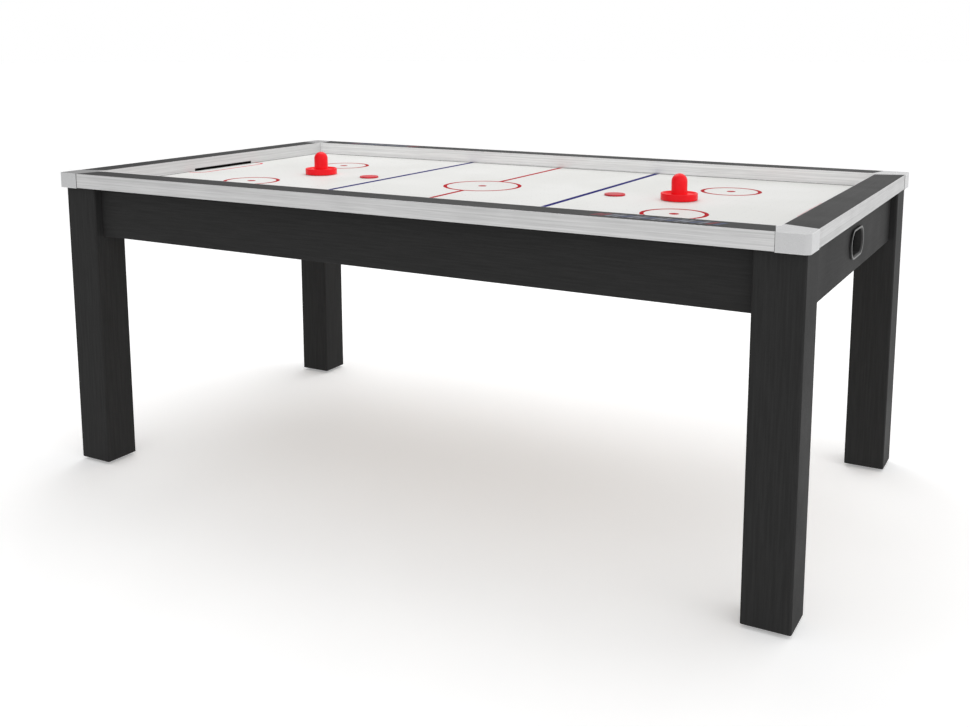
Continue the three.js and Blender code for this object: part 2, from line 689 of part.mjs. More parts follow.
function blowerGrille() {
  const z0 = FAN_BOTTOM - GAP - 3;
  const z1 = FAN_BOTTOM - GAP;
  const radii = [[FAN_RADIUS + FAN_WALL, FAN_RADIUS - 4], [66, 61], [42, 37]];
  const rings = radii.map(([outer, inner]) =>
    carve([cylinderZ(outer, z0, z1, FAN_FACETS)], [cylinderZ(inner, z0 - 1, z1 + 1, FAN_FACETS)]),
  );
  return carve([...rings, cylinderZ(16, z0, z1, 36), ...spokes(4, 10, FAN_RADIUS - 1, 4, z0, z1)]);
}

function blowerLead() {
  const z = PLENUM_UNDER - LEAD_RADIUS - 3;
  const route = new THREE.CatmullRomCurve3([
    new THREE.Vector3(POWER_X, APRON_Y - INLET_DEPTH - GAP, POWER_Z - POWER_SPREAD),
    new THREE.Vector3(POWER_X, APRON_Y - INLET_DEPTH - 20, POWER_Z - POWER_SPREAD + 1),
    new THREE.Vector3(POWER_X - 2, APRON_Y - 80, z - 8),
    new THREE.Vector3(POWER_X - 12, APRON_Y - 130, z),
    new THREE.Vector3(POWER_X - 80, APRON_Y - 290, z),
    new THREE.Vector3(12, GLAND_Y + 60, z - 4),
    new THREE.Vector3(0, GLAND_Y + 20, GLAND_Z + 1),
    new THREE.Vector3(0, GLAND_Y + GAP, GLAND_Z),
  ]);
  const section = new THREE.Shape().absarc(0, 0, LEAD_RADIUS, 0, Math.PI * 2);
  const settings = { steps: 30, curveSegments: 5, bevelEnabled: false, extrudePath: route };
  return new THREE.ExtrudeGeometry(section, settings);
}

function addBlower() {
  const motorBase = FAN_BOTTOM + CUP_FLOOR + GAP;
  piece(table, "blower_housing", blowerHousing(), finish.blackPlastic);
  piece(table, "blower_motor", blowerMotor(), finish.steel, [0, 0, motorBase]);
  piece(table, "blower_impeller", blowerImpeller(), finish.greyPlastic, [0, 0, motorBase + MOTOR_HEIGHT]);
  piece(table, "blower_grille", blowerGrille(), finish.blackPlastic);
  piece(table, "blower_lead", blowerLead(), finish.rubber);
}

// ---------------------------------------------------------------- power inlet and switch on the back apron

const PLATE_Y = APRON_Y + GAP + PLATE_THICK; // outer face of the plate
const SWITCH_Z = POWER_Z + POWER_SPREAD;
const INLET_Z = POWER_Z - POWER_SPREAD;

function powerPlate() {
  const plan = roundedRectangle(PLATE_HALF_WIDTH, PLATE_HALF_HEIGHT, 5);
  const face = extrudeY(plan, APRON_Y + GAP, PLATE_Y).translate(POWER_X, 0, POWER_Z);
  const around = (halfX, halfZ, y0, y1, z) =>
    box([POWER_X - halfX, POWER_X + halfX], [y0, y1], [z - halfZ, z + halfZ]);
  const tub = around(9, 12.5, PLATE_Y - 18, PLATE_Y - 1, SWITCH_Z);
  const well = around(7.4, 11, PLATE_Y - 16, PLATE_Y + 1, SWITCH_Z);
  const window = around(14.4, 11, APRON_Y - 1, PLATE_Y + 1, INLET_Z);
  return carve([face, tub], [well, window]);
}

function powerInlet() {
  const body = box([-14, 14], [APRON_Y - INLET_DEPTH, PLATE_Y + 1], [-10.6, 10.6]);
  const recess = outline([[-12, -8.3], [12, -8.3], [12, 3], [7, 8.3], [-7, 8.3], [-12, 3]]);
  return carve([body], [extrudeY(recess, PLATE_Y - 15, PLATE_Y + 2)]);
}

// The rocker's outline in (y, z) about its pivot: two faces meeting in a shallow V, at rest tilted to off.
function powerSwitch() {
  const rocker = outline([
    [8.5, -9.4], [6.9, 0], [8.5, 9.4], [2, 10], [-4, 5], [-4, -5], [2, -10],
  ]);
  return extrudeX(rocker, -7, 7).rotateX(THREE.MathUtils.degToRad(-7));
}

function addPower() {
  piece(table, "power_plate", powerPlate(), finish.blackPlastic);
  piece(table, "power_inlet", powerInlet(), finish.blackPlastic, [POWER_X, 0, INLET_Z]);
  piece(table, "power_switch", powerSwitch(), finish.redPlastic, [POWER_X, PLATE_Y - 7, SWITCH_Z]);
}

// ---------------------------------------------------------------- the table

addRails();
addPlayfield();
addAprons();
addGoals();
addLegs();
addPlayPieces();
addBlower();
addPower();

export default table;
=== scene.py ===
import math

import bmesh
import bpy
from mathutils import Matrix, Vector


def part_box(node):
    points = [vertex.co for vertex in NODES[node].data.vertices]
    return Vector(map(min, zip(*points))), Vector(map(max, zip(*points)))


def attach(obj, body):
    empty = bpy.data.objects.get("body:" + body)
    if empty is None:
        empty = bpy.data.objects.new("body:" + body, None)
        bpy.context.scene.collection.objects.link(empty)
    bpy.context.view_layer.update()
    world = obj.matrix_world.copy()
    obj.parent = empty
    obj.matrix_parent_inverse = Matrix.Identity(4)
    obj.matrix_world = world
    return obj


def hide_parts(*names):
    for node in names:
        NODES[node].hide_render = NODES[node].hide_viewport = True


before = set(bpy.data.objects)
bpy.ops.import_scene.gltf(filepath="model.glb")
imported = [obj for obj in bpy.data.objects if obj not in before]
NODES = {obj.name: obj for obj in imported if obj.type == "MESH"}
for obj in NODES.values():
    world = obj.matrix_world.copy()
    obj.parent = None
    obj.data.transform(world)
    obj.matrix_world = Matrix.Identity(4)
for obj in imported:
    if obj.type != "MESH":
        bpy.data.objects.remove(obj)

# The looks of an air hockey table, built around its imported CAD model.
# Metres, +Z up, the same frame as the CAD.

TABLE = "table"
SIDES = ("front", "back")
ENDS = ("left", "right")
CORNERS = [f"{side}_{end}" for side in SIDES for end in ENDS]
SIGN = {"front": -1, "back": 1, "left": -1, "right": 1}
MM = 0.001
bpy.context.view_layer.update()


# ------------------------ camera, lights and stage

def add_camera():
    """The view from the front right, a little above the rail."""
    data = bpy.data.cameras.new("camera")
    data.lens = 41.34
    data.sensor_width = 36
    data.shift_x = -0.0112
    data.shift_y = -0.155
    data.dof.use_dof = False
    camera = bpy.data.objects.new("camera", data)
    camera.location = (1.4709, -2.5981, 1.1662)
    camera.rotation_euler = (math.radians(90 - 8.85), 0, math.radians(28.93))
    bpy.context.scene.collection.objects.link(camera)
    bpy.context.scene.camera = camera


def add_area_light(name, place, target, size, power):
    data = bpy.data.lights.new(name, "AREA")
    data.shape = "DISK"
    data.size = size
    data.energy = power
    light = bpy.data.objects.new(name, data)
    light.location = place
    light.rotation_euler = (Vector(target) - Vector(place)).to_track_quat("-Z", "Y").to_euler()
    bpy.context.scene.collection.objects.link(light)


DIM_SIDE = math.radians(-175)  # the compass direction in which the sky is dimmest
DIM_SKY = 0.22
BRIGHT_SKY = 1.02
BRIGHT_WITHIN = -0.1  # the sky is at its brightest below this cosine from the dim side,
DIM_BEYOND = 0.9  # and at its dimmest above this one
FLOOR_RADIUS = 60
FLOOR_SIDES = 64
FLOOR_GLOW = 0.28


def add_studio():
    """An even pale studio: a bright sky that is dimmer on the left, two soft lamps and a pale floor."""
    world = bpy.data.worlds.new("studio")
    bpy.context.scene.world = world
    world.use_nodes = True
    nodes, links = world.node_tree.nodes, world.node_tree.links
    sky = nodes["Background"]
    where = nodes.new("ShaderNodeTexCoord")
    side = nodes.new("ShaderNodeVectorMath")
    side.operation = "DOT_PRODUCT"
    side.inputs[1].default_value = (math.cos(DIM_SIDE), math.sin(DIM_SIDE), 0)
    shade = nodes.new("ShaderNodeMapRange")
    ramp = {"From Min": BRIGHT_WITHIN, "From Max": DIM_BEYOND, "To Min": BRIGHT_SKY, "To Max": DIM_SKY}
    for socket, value in ramp.items():
        shade.inputs[socket].default_value = value
    links.new(where.outputs["Generated"], side.inputs[0])
    links.new(side.outputs["Value"], shade.inputs["Value"])
    seen = nodes.new("ShaderNodeLightPath")
    bright = nodes.new("ShaderNodeMath")
    bright.operation = "MAXIMUM"
    links.new(shade.outputs["Result"], bright.inputs[0])
    links.new(seen.outputs["Is Camera Ray"], bright.inputs[1])
    links.new(bright.outputs[0], sky.inputs["Strength"])
    sky.inputs["Color"].default_value = (1, 1, 1, 1)

    add_area_light("key", (4.2, -0.6, 2.6), target=(0, 0, 0.7), size=2.6, power=9)
    add_area_light("top", (-1.0, 1.2, 3.4), target=(0, 0, 0.8), size=3.0, power=38)

    mesh = bpy.data.meshes.new("floor")
    angles = [i / FLOOR_SIDES * math.tau for i in range(FLOOR_SIDES)]
    rim = [(FLOOR_RADIUS * math.cos(a), FLOOR_RADIUS * math.sin(a), 0) for a in angles]
    mesh.from_pydata(rim, [], [list(range(FLOOR_SIDES))])
    floor = bpy.data.objects.new("floor", mesh)
    bpy.context.scene.collection.objects.link(floor)
    look = Look("studio_floor", (0.93, 0.93, 0.93), roughness=0.9)
    mottle = look.noise(3, detail=4)
    look.colour(look.mix(look.span(mottle, 0.3, 0.7), (0.92, 0.92, 0.92), (0.94, 0.94, 0.94)))
    look.shader.inputs["Emission Color"].default_value = (1, 1, 1, 1)
    look.shader.inputs["Emission Strength"].default_value = FLOOR_GLOW
    floor.data.materials.append(look.material)
    bpy.context.scene.view_settings.view_transform = "Standard"


# ------------------------ materials

def srgb(*values):
    """Display values from 0 to 255 as the linear colour that a shader takes."""
    shares = [v / 255 for v in values]
    return tuple(s / 12.92 if s <= 0.04045 else ((s + 0.055) / 1.055) ** 2.4 for s in shares)


class Look:
    """A material: one Principled shader, and short calls that add the nodes in front of it."""

    def __init__(self, name, colour, roughness=0.5, metallic=0.0, gloss=0.5):
        self.material = bpy.data.materials.new(name)
        self.material.use_nodes = True
        self.nodes = self.material.node_tree.nodes
        self.links = self.material.node_tree.links
        self.shader = self.nodes["Principled BSDF"]
        self.shader.inputs["Base Color"].default_value = (*colour, 1)
        self.shader.inputs["Roughness"].default_value = roughness
        self.shader.inputs["Metallic"].default_value = metallic
        self.shader.inputs["Specular IOR Level"].default_value = gloss
        self.place = self.nodes.new("ShaderNodeTexCoord").outputs["Object"]

    def put(self, socket, value):
        if isinstance(value, bpy.types.NodeSocket):
            self.links.new(value, socket)
        elif socket.type == "RGBA":
            socket.default_value = (*value, 1)
        else:
            socket.default_value = value

    def math(self, operation, *values, kind="ShaderNodeMath"):
        node = self.nodes.new(kind)
        node.operation = operation
        for socket, value in zip(node.inputs, values):
            self.put(socket, value)
        return node.outputs[0]

    def vector(self, operation, *values):
        return self.math(operation, *values, kind="ShaderNodeVectorMath")

    def stretched(self, scale):
        """The place on the piece, scaled by one number or by three."""
        return self.vector("MULTIPLY", self.place, scale if isinstance(scale, tuple) else (scale,) * 3)

    def noise(self, scale, detail=3.0, roughness=0.5, distortion=0.0):
        node = self.nodes.new("ShaderNodeTexNoise")
        self.put(node.inputs["Vector"], self.stretched(scale))
        node.inputs["Scale"].default_value = 1
        node.inputs["Detail"].default_value = detail
        node.inputs["Roughness"].default_value = roughness
        node.inputs["Distortion"].default_value = distortion
        return node.outputs["Fac"]

    def cells(self, scale):
        node = self.nodes.new("ShaderNodeTexVoronoi")
        self.put(node.inputs["Vector"], self.stretched(scale))
        node.inputs["Scale"].default_value = 1
        return node.outputs["Distance"]

    def span(self, value, low, high, to_low=0.0, to_high=1.0):
        node = self.nodes.new("ShaderNodeMapRange")
        node.interpolation_type = "SMOOTHSTEP"
        sockets = ("Value", "From Min", "From Max", "To Min", "To Max")
        for socket, number in zip(sockets, (value, low, high, to_low, to_high)):
            self.put(node.inputs[socket], number)
        return node.outputs["Result"]

    def mix(self, factor, first, second):
        node = self.nodes.new("ShaderNodeMix")
        node.data_type = "RGBA"
        colours = [s for s in node.inputs if s.type == "RGBA"]
        self.put(node.inputs["Factor"], factor)
        self.put(colours[0], first)
        self.put(colours[1], second)
        return next(s for s in node.outputs if s.type == "RGBA")

    def edges(self, width):
        """1 on the edges of the piece's box, falling to 0 about width away, with a ragged border."""
        corners = []
        for name in ("wear_low", "wear_high"):
            node = self.nodes.new("ShaderNodeAttribute")
            node.attribute_type = "OBJECT"
            node.attribute_name = name
            corners.append(node.outputs["Vector"])
        near = self.vector("SUBTRACT", self.place, corners[0])
        far = self.vector("SUBTRACT", corners[1], self.place)
        split = self.nodes.new("ShaderNodeSeparateXYZ")
        self.links.new(self.vector("MINIMUM", near, far), split.inputs[0])
        x, y, z = split.outputs
        lesser, greater = self.math("MINIMUM", x, y), self.math("MAXIMUM", x, y)
        middle = self.math("MAXIMUM", lesser, self.math("MINIMUM", greater, z))
        ragged = self.math("MULTIPLY", self.noise(90, detail=4), width * 1.4)
        return self.span(self.math("ADD", middle, ragged), width * 0.55, width * 1.5, 1, 0)

    def worn(self, body, width, strength, tone):
        """A colour that is rubbed towards a grey tone along the piece's edges."""
        return self.mix(self.math("MULTIPLY", self.edges(width), strength), body, (tone,) * 3)

    def colour(self, value):
        self.put(self.shader.inputs["Base Color"], value)

    def roughness(self, value):
        self.put(self.shader.inputs["Roughness"], value)

    def bump(self, *layers):
        """Layers of (height, depth in metres, strength), the first one deepest in the chain."""
        last = None
        for height, depth, strength in layers:
            node = self.nodes.new("ShaderNodeBump")
            node.inputs["Strength"].default_value = strength
            node.inputs["Distance"].default_value = depth
            self.links.new(height, node.inputs["Height"])
            if last:
                self.links.new(last, node.inputs["Normal"])
            last = node.outputs["Normal"]
        self.links.new(last, self.shader.inputs["Normal"])


def shaded(colour, times, plus=0.0):
    return tuple(min(1, c * times + plus) for c in colour)


def along(axis, lengthwise, across):
    """Texture scales for a grain that runs along one axis."""
    return tuple(lengthwise if i == "XYZ".index(axis) else across for i in range(3))


def brushed_metal(name, axis, tone, metallic=1.0):
    """Aluminium brushed along one axis: long drawn lines, shorter and finer streaks, and polished edges."""
    look = Look(name, (tone,) * 3, metallic=metallic)
    drawn = look.noise(along(axis, 0.9, 260), roughness=0.6)
    short = look.noise(along(axis, 12, 480), detail=4, roughness=0.6)
    coarse = look.math("ADD", look.math("MULTIPLY", drawn, 0.62), look.math("MULTIPLY", short, 0.38))
    fine = look.noise(along(axis, 45, 2600))
    smudge = look.noise(9, distortion=0.4)
    streaks = look.mix(look.span(coarse, 0.36, 0.64), (tone * 0.86,) * 3, (tone * 1.08,) * 3)
    look.colour(look.worn(streaks, width=0.0012, strength=0.45, tone=0.93))
    brushing = look.span(fine, 0.25, 0.75, 0.30, 0.42)
    look.roughness(look.math("ADD", brushing, look.span(smudge, 0.3, 0.7, -0.03, 0.06)))
    look.bump((coarse, 0.00003, 0.4), (fine, 0.00001, 0.5))
    return look.material


def cast_metal():
    """Satin cast aluminium with a fine sand grain, upward faces painted paler than the sides as painted light
    and shade from above, and brighter, handled edges.
    """
    look = Look("cast_aluminium", (0.6, 0.6, 0.6), metallic=1.0)
    grain = look.noise(1400, detail=4)
    cloud = look.noise(16, distortion=0.4)
    facing = look.nodes.new("ShaderNodeSeparateXYZ")
    look.links.new(look.nodes.new("ShaderNodeTexCoord").outputs["Normal"], facing.inputs[0])
    clouds = look.span(cloud, 0.3, 0.7)
    # The upward faces get a paler tone than the sides: painted light on the tops and painted shade on the
    # sides, not a different finish.
    side_shaded = look.mix(clouds, (0.495, 0.50, 0.505), (0.53, 0.53, 0.535))
    top_lit = look.mix(clouds, (0.60, 0.605, 0.61), (0.64, 0.64, 0.645))
    body = look.mix(look.span(facing.outputs["Z"], 0.4, 0.8), side_shaded, top_lit)
    look.colour(look.worn(body, width=0.0016, strength=0.5, tone=0.90))
    satin = look.span(cloud, 0.25, 0.75, 0.20, 0.27)
    look.roughness(look.math("ADD", satin, look.span(grain, 0.3, 0.7, 0, 0.04)))
    look.bump((grain, 0.00001, 0.4))
    return look.material


def laminate(name, axis, tone, worn, gloss):
    """Dark laminate with a faint grain along one axis, fine pores, and edges rubbed a little lighter."""
    look = Look(name, (tone,) * 3, gloss=gloss)
    grain = look.noise(along(axis, 9, 260), detail=6, roughness=0.62, distortion=0.25)
    pores = look.noise(along(axis, 70, 1500))
    speckle = look.noise(1100, detail=4, roughness=0.7)
    cloud = look.noise(5, detail=4)
    body = look.mix(look.span(grain, 0.30, 0.70), (tone * 0.88,) * 3, (tone * 1.12,) * 3)
    body = look.mix(look.span(pores, 0.60, 0.74, 0, 0.45), body, (tone * 0.45,) * 3)
    body = look.mix(look.span(speckle, 0.56, 0.80, 0, 0.25), body, (tone * 2.4,) * 3)
    look.colour(look.worn(body, width=0.0022, strength=0.45, tone=worn))
    satin = look.span(cloud, 0.3, 0.7, 0.46, 0.54)
    look.roughness(look.math("ADD", satin, look.span(speckle, 0.3, 0.8, -0.04, 0.10)))
    look.bump((grain, 0.00005, 0.30), (pores, 0.00004, 0.45), (speckle, 0.00002, 0.35))
    return look.material


def playfield_laminate():
    """Satin white laminate, with a faint orange peel, smudges and hairline scuffs from the pucks."""
    look = Look("playfield_laminate", (0.80, 0.80, 0.79), gloss=0.25)
    cloud = look.noise(3.2, detail=5, distortion=0.5)
    peel = look.noise(260, detail=2)
    scuff_a = look.noise((14, 1300, 40), detail=2)
    scuff_b = look.noise((1300, 18, 40), detail=2, distortion=0.3)
    marks = look.math("MAXIMUM", look.span(scuff_a, 0.70, 0.78), look.span(scuff_b, 0.71, 0.79))
    body = look.mix(look.span(cloud, 0.3, 0.7), srgb(222, 222, 219), srgb(228, 228, 226))
    look.colour(look.mix(look.math("MULTIPLY", marks, 0.18), body, srgb(198, 198, 197)))
    satin = look.span(cloud, 0.3, 0.7, 0.42, 0.52)
    look.roughness(look.math("ADD", satin, look.math("MULTIPLY", marks, 0.2)))
    look.bump((peel, 0.00006, 0.15), (marks, 0.00001, 0.3))
    return look.material


def ink(name, colour):
    """Screen-printed ink with thin and thick patches."""
    look = Look(name, colour, gloss=0.02)
    patch = look.noise(60, detail=5, roughness=0.6)
    mesh_print = look.noise(2200, detail=2)
    look.colour(look.mix(look.span(patch, 0.35, 0.7), colour, shaded(colour, 1.15, 0.002)))
    look.roughness(look.span(mesh_print, 0.3, 0.7, 0.45, 0.60))
    look.bump((mesh_print, 0.00001, 0.4))
    return look.material


def moulded(name, colour, roughness, grain=1500, marks=0.0, subsurface=0.0, gloss=0.5):
    """Moulded plastic: a fine spark-eroded grain, faint flow clouds and, if marks is set, handling scuffs."""
    look = Look(name, colour, gloss=gloss)
    look.shader.inputs["Subsurface Weight"].default_value = subsurface
    look.shader.inputs["Subsurface Scale"].default_value = 0.004
    skin = look.noise(grain)
    flow = look.noise(22, detail=4, distortion=0.8)
    body = look.mix(look.span(flow, 0.3, 0.7), shaded(colour, 0.88), shaded(colour, 1.10, 0.004))
    if marks:
        rubs = look.noise((420, 420, 60), detail=5, roughness=0.75)
        body = look.mix(look.span(rubs, 0.62, 0.76, 0, marks), body, shaded(colour, 1.3, 0.05))
    look.colour(body)
    worn = look.math("ADD", look.span(flow, 0.3, 0.7, -0.03, 0.04), roughness)
    look.roughness(look.math("ADD", worn, look.span(skin, 0.3, 0.8, -0.03, 0.05)))
    look.bump((skin, 0.00004, 0.35))
    return look.material


def felt():
    """Pressed black felt: tangled fibres with a soft sheen."""
    look = Look("mallet_felt", (0.02, 0.02, 0.02), roughness=0.95)
    look.shader.inputs["Sheen Weight"].default_value = 0.4
    fibres = look.noise((1600, 1600, 500), detail=6, roughness=0.75, distortion=2.5)
    look.colour(look.mix(look.span(fibres, 0.35, 0.7), (0.010, 0.010, 0.011), (0.055, 0.055, 0.058)))
    look.roughness(look.span(fibres, 0.3, 0.7, 0.88, 1.0))
    look.bump((fibres, 0.0004, 0.8))
    return look.material


def zinc_steel():
    """Zinc-plated steel with a faint spangle."""
    look = Look("zinc_steel", (0.5, 0.5, 0.5), metallic=1.0)
    spangle = look.cells(900)
    cloud = look.noise(160, detail=5)
    look.colour(look.mix(look.span(cloud, 0.3, 0.7), (0.42, 0.42, 0.41), (0.62, 0.62, 0.60)))
    look.roughness(look.span(spangle, 0.1, 0.8, 0.26, 0.44))
    look.bump((spangle, 0.00003, 0.3), (cloud, 0.00005, 0.2))
    return look.material


def rubber(name, tone):
    """Dark moulded rubber with patches of dust."""
    look = Look(name, (tone,) * 3)
    skin = look.noise(700, detail=5, roughness=0.65)
    dust = look.noise(60, detail=4)
    look.colour(look.mix(look.span(dust, 0.4, 0.75), (tone,) * 3, (tone * 2.6 + 0.01,) * 3))
    look.roughness(look.span(skin, 0.3, 0.7, 0.62, 0.82))
    look.bump((skin, 0.00008, 0.5))
    return look.material


def fibreboard(name, dark, light):
    """Bare fibreboard: short tangled fibres in two browns."""
    look = Look(name, light, roughness=0.85)
    fibres = look.noise(420, detail=6, roughness=0.72, distortion=1.6)
    cloud = look.noise(6, detail=4)
    body = look.mix(look.span(fibres, 0.32, 0.68), dark, light)
    look.colour(look.mix(look.span(cloud, 0.35, 0.7, 0, 0.35), body, shaded(dark, 0.72)))
    look.roughness(look.span(fibres, 0.3, 0.7, 0.78, 0.92))
    look.bump((fibres, 0.00012, 0.5))
    return look.material


def make_looks():
    """Every finish of the table, by name. A grained one has a version for each axis it runs along."""
    looks = {
        "cast": cast_metal(),
        "playfield": playfield_laminate(),
        # The air holes' near-black board is painted shade: it stands in for the dark depth of a through hole,
        # which the shallow cones don't have.
        "hole": fibreboard("air_hole_painted_shade", (0.02, 0.015, 0.01), (0.09, 0.06, 0.04)),
        "board": fibreboard("raw_board", (0.20, 0.135, 0.08), (0.38, 0.27, 0.17)),
        "red_ink": ink("rink_red", srgb(172, 0, 20)),
        "blue_ink": ink("rink_blue", srgb(14, 8, 104)),
        "pale_red_ink": ink("crease_red", srgb(206, 70, 86)),
        "rail_pale": ink("rail_mark_pale", srgb(128, 131, 140)),
        "rail_blue": ink("rail_mark_blue", srgb(92, 99, 122)),
        "rail_red": ink("rail_mark_red", srgb(134, 78, 84)),
        "black_plastic": moulded("black_plastic", (0.014, 0.014, 0.014), 0.5, grain=1000),
        # The grey plastic is the bezels' crest: a painted highlight on their black lips.
        "grey_plastic": moulded("grey_plastic", srgb(92, 92, 92), 0.42, grain=1300),
        "fan_plastic": moulded("fan_plastic", srgb(70, 71, 74), 0.45),
        "mallet": moulded("mallet_plastic", srgb(255, 2, 24), 0.36, marks=0.12, subsurface=0.05, gloss=0.25),
        "puck": moulded("puck_plastic", srgb(208, 40, 54), 0.42, marks=0.20, subsurface=0.05, gloss=0.3),
        "switch": moulded("switch_plastic", srgb(150, 12, 14), 0.30),
        "print_white": moulded("print_white", srgb(225, 225, 225), 0.5),
        "felt": felt(),
        "steel": zinc_steel(),
        "rubber": rubber("leveler_rubber", 0.014),
        "cable": rubber("lead_jacket", 0.010),
        # The grey strip at the walls' foot is painted shade where the walls meet the playfield.
        "foot_shade_grey": rubber("wall_foot_painted_shade", 0.13),
    }
    # The side runs (X) and the end runs (Y) of one metal get different tones: painted light and shade for how
    # the lamps fall on the sides and the ends.
    for axis, fascia_tone_painted_light, wall_tone_painted_light in (("X", 0.60, 0.92), ("Y", 0.52, 0.66)):
        looks["brushed", axis] = brushed_metal(f"brushed_aluminium_{axis}", axis, fascia_tone_painted_light)
        looks["foil", axis] = brushed_metal(f"wall_foil_{axis}", axis, wall_tone_painted_light, metallic=0.25)
        looks["rail", axis] = laminate(f"rail_top_laminate_{axis}", axis, 0.036, 0.09, 0.07)
    for axis in "XYZ":
        looks["laminate", axis] = laminate(f"black_laminate_{axis}", axis, 0.0280, 0.054, 0.03)
    return looks


# ------------------------ mesh helpers

class Shell:
    """The closed bodies of one piece, gathered as vertices and faces."""

    def __init__(self):
        self.vertices = []
        self.faces = []
        self.look_index = []

    def add(self, body, look=0, place=Matrix()):
        """Adds a closed body. A look may also be a function that picks one from the middle of a face."""
        vertices, faces = body
        base = len(self.vertices)
        flip = place.determinant() < 0
        self.vertices += [place @ Vector(v) for v in vertices]
        for face in faces:
            moved = [base + i for i in face]
            self.faces.append(moved[::-1] if flip else moved)
            if callable(look):
                self.look_index.append(look(sum((Vector(vertices[i]) for i in face), Vector()) / len(face)))
            else:
                self.look_index.append(look)
        return self

    def piece(self, name, body, looks, slot, replaces=(), sharp=35):
        mesh = bpy.data.meshes.new(name)
        mesh.from_pydata(self.vertices, [], self.faces)
        for look in looks:
            mesh.materials.append(look)
        mesh.polygons.foreach_set("material_index", self.look_index)
        mesh.shade_smooth()
        mesh.set_sharp_from_angle(angle=math.radians(sharp))
        piece = bpy.data.objects.new(name, mesh)
        bpy.context.scene.collection.objects.link(piece)
        mark_box(piece, self.vertices)
        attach(piece, body)
        if replaces:
            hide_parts(*replaces)
        return piece


def mark_box(piece, vertices):
    """Gives a piece the corners of its box, which its material's edge wear reads."""
    piece["wear_low"] = [min(v[i] for v in vertices) for i in range(3)]
    piece["wear_high"] = [max(v[i] for v in vertices) for i in range(3)]


def arc(centre, radius, start, end, steps):
    """Points on an arc, its two ends included. Angles in degrees."""
    turns = [math.radians(start + (end - start) * i / steps) for i in range(steps + 1)]
    return [(centre[0] + radius * math.cos(t), centre[1] + radius * math.sin(t)) for t in turns]


def filleted(points, steps=4):
    """Rounds a path's corners. A point is (x, y) where it is sharp, or (x, y, radius)."""
    path = []
    for i, point in enumerate(points):
        here = Vector(point[:2])
        if len(point) < 3 or i in (0, len(points) - 1):
            path.append(tuple(here))
            continue
        before = (Vector(points[i - 1][:2]) - here).normalized()
        after = (Vector(points[i + 1][:2]) - here).normalized()
        angle = before.angle(after)
        reach = point[2] / math.tan(angle / 2)
        start, end = here + before * reach, here + after * reach
        for step in range(steps + 1):
            t = step / steps
            path.append(tuple(start * (1 - t) ** 2 + here * (2 * t * (1 - t)) + end * t ** 2))
    return path


ON_AXIS = 1e-6  # a smaller radius than this, in millimetres, is a point on the axis


def turned(profile, segments, shape=None):
    """A body turned about Z from (radius, height) points in millimetres, from the axis to the axis.

    shape is {index: function}, which bends the ring at that index by angle."""
    vertices, rings = [], []
    for index, (radius, height) in enumerate(profile):
        if radius < ON_AXIS:
            rings.append([len(vertices)])
            vertices.append((0, 0, height * MM))
            continue
        bend = (shape or {}).get(index, lambda angle: 1.0)
        rings.append(list(range(len(vertices), len(vertices) + segments)))
        for i in range(segments):
            angle = i / segments * math.tau
            reach = radius * MM * bend(angle)
            vertices.append((reach * math.cos(angle), reach * math.sin(angle), height * MM))
    faces = []
    for low, high in zip(rings, rings[1:]):
        for i in range(segments):
            j = (i + 1) % segments
            if len(low) == 1:
                faces.append([low[0], high[j], high[i]])
            elif len(high) == 1:
                faces.append([low[i], low[j], high[0]])
            else:
                faces.append([low[i], low[j], high[j], high[i]])
    return vertices, faces


def prism(outline, z0, z1):
    """A body between two levels from an outline that runs anticlockwise."""
    count = len(outline)
    vertices = [(x, y, z0) for x, y in outline] + [(x, y, z1) for x, y in outline]
    faces = [list(range(count))[::-1], list(range(count, 2 * count))]
    for i in range(count):
        j = (i + 1) % count
        faces.append([i, j, count + j, count + i])
    return vertices, faces


def block(low, high, bevel=0.0):
    """A box between two corners, its edges rounded by bevel."""
    outline = [(low[0], low[1]), (high[0], low[1]), (high[0], high[1]), (low[0], high[1])]
    body = prism(outline, low[2], high[2])
    return softened(body, bevel) if bevel else body


def softened(body, width, angle=30):
    """The body with every edge sharper than the angle bevelled."""
    mesh = bmesh.new()
    made = [mesh.verts.new(v) for v in body[0]]
    for face in body[1]:
        mesh.faces.new([made[i] for i in face])
    mesh.normal_update()
    sharp = [e for e in mesh.edges if e.calc_face_angle(0) > math.radians(angle)]
    bmesh.ops.bevel(mesh, geom=sharp, offset=width, segments=2, profile=0.5, affect="EDGES")
    mesh.verts.index_update()
    result = ([tuple(v.co) for v in mesh.verts], [[v.index for v in f.verts] for f in mesh.faces])
    mesh.free()
    return result


def annulus(inner, outer, z0, z1, segments):
    """A flat ring."""
    angles = [i / segments * math.tau for i in range(segments)]
    corners = ((inner, z0), (outer, z0), (outer, z1), (inner, z1))
    return ring_of([[(r * math.cos(a), r * math.sin(a), z) for a in angles] for r, z in corners])


def disc(radius, z0, z1, sides=32):
    return prism(arc((0, 0), radius, 0, 360 - 360 / sides, sides - 1), z0, z1)


def ring_of(loops):
    """A closed tube of closed loops: each loop joins the next, and the last joins the first."""
    count, around = len(loops), len(loops[0])
    vertices = [p for loop in loops for p in loop]
    faces = []
    for i in range(count):
        k = (i + 1) % count
        for j in range(around):
            n = (j + 1) % around
            faces.append([i * around + j, i * around + n, k * around + n, k * around + j])
    return vertices, faces


def stroke(path, width):
    """The outline of a line of some width along a path of (x, y) points."""
    left, right = [], []
    for i, point in enumerate(path):
        before, after = Vector(path[max(i - 1, 0)]), Vector(path[min(i + 1, len(path) - 1)])
        direction = (after - before).normalized()
        normal = Vector((-direction.y, direction.x)) * width / 2
        left.append(tuple(Vector(point) + normal))
        right.append(tuple(Vector(point) - normal))
    return right + left[::-1]


def round_rectangle(half_width, half_height, radius, steps):
    points = []
    for quarter, (sx, sy) in enumerate(((1, 1), (-1, 1), (-1, -1), (1, -1))):
        centre = (sx * (half_width - radius), sy * (half_height - radius))
        points += arc(centre, radius, quarter * 90, quarter * 90 + 90, steps)
    return points


WELD_REACH = 2e-6
FLAT_WITHIN = math.radians(0.4)
EDGE_BEYOND = math.radians(30)


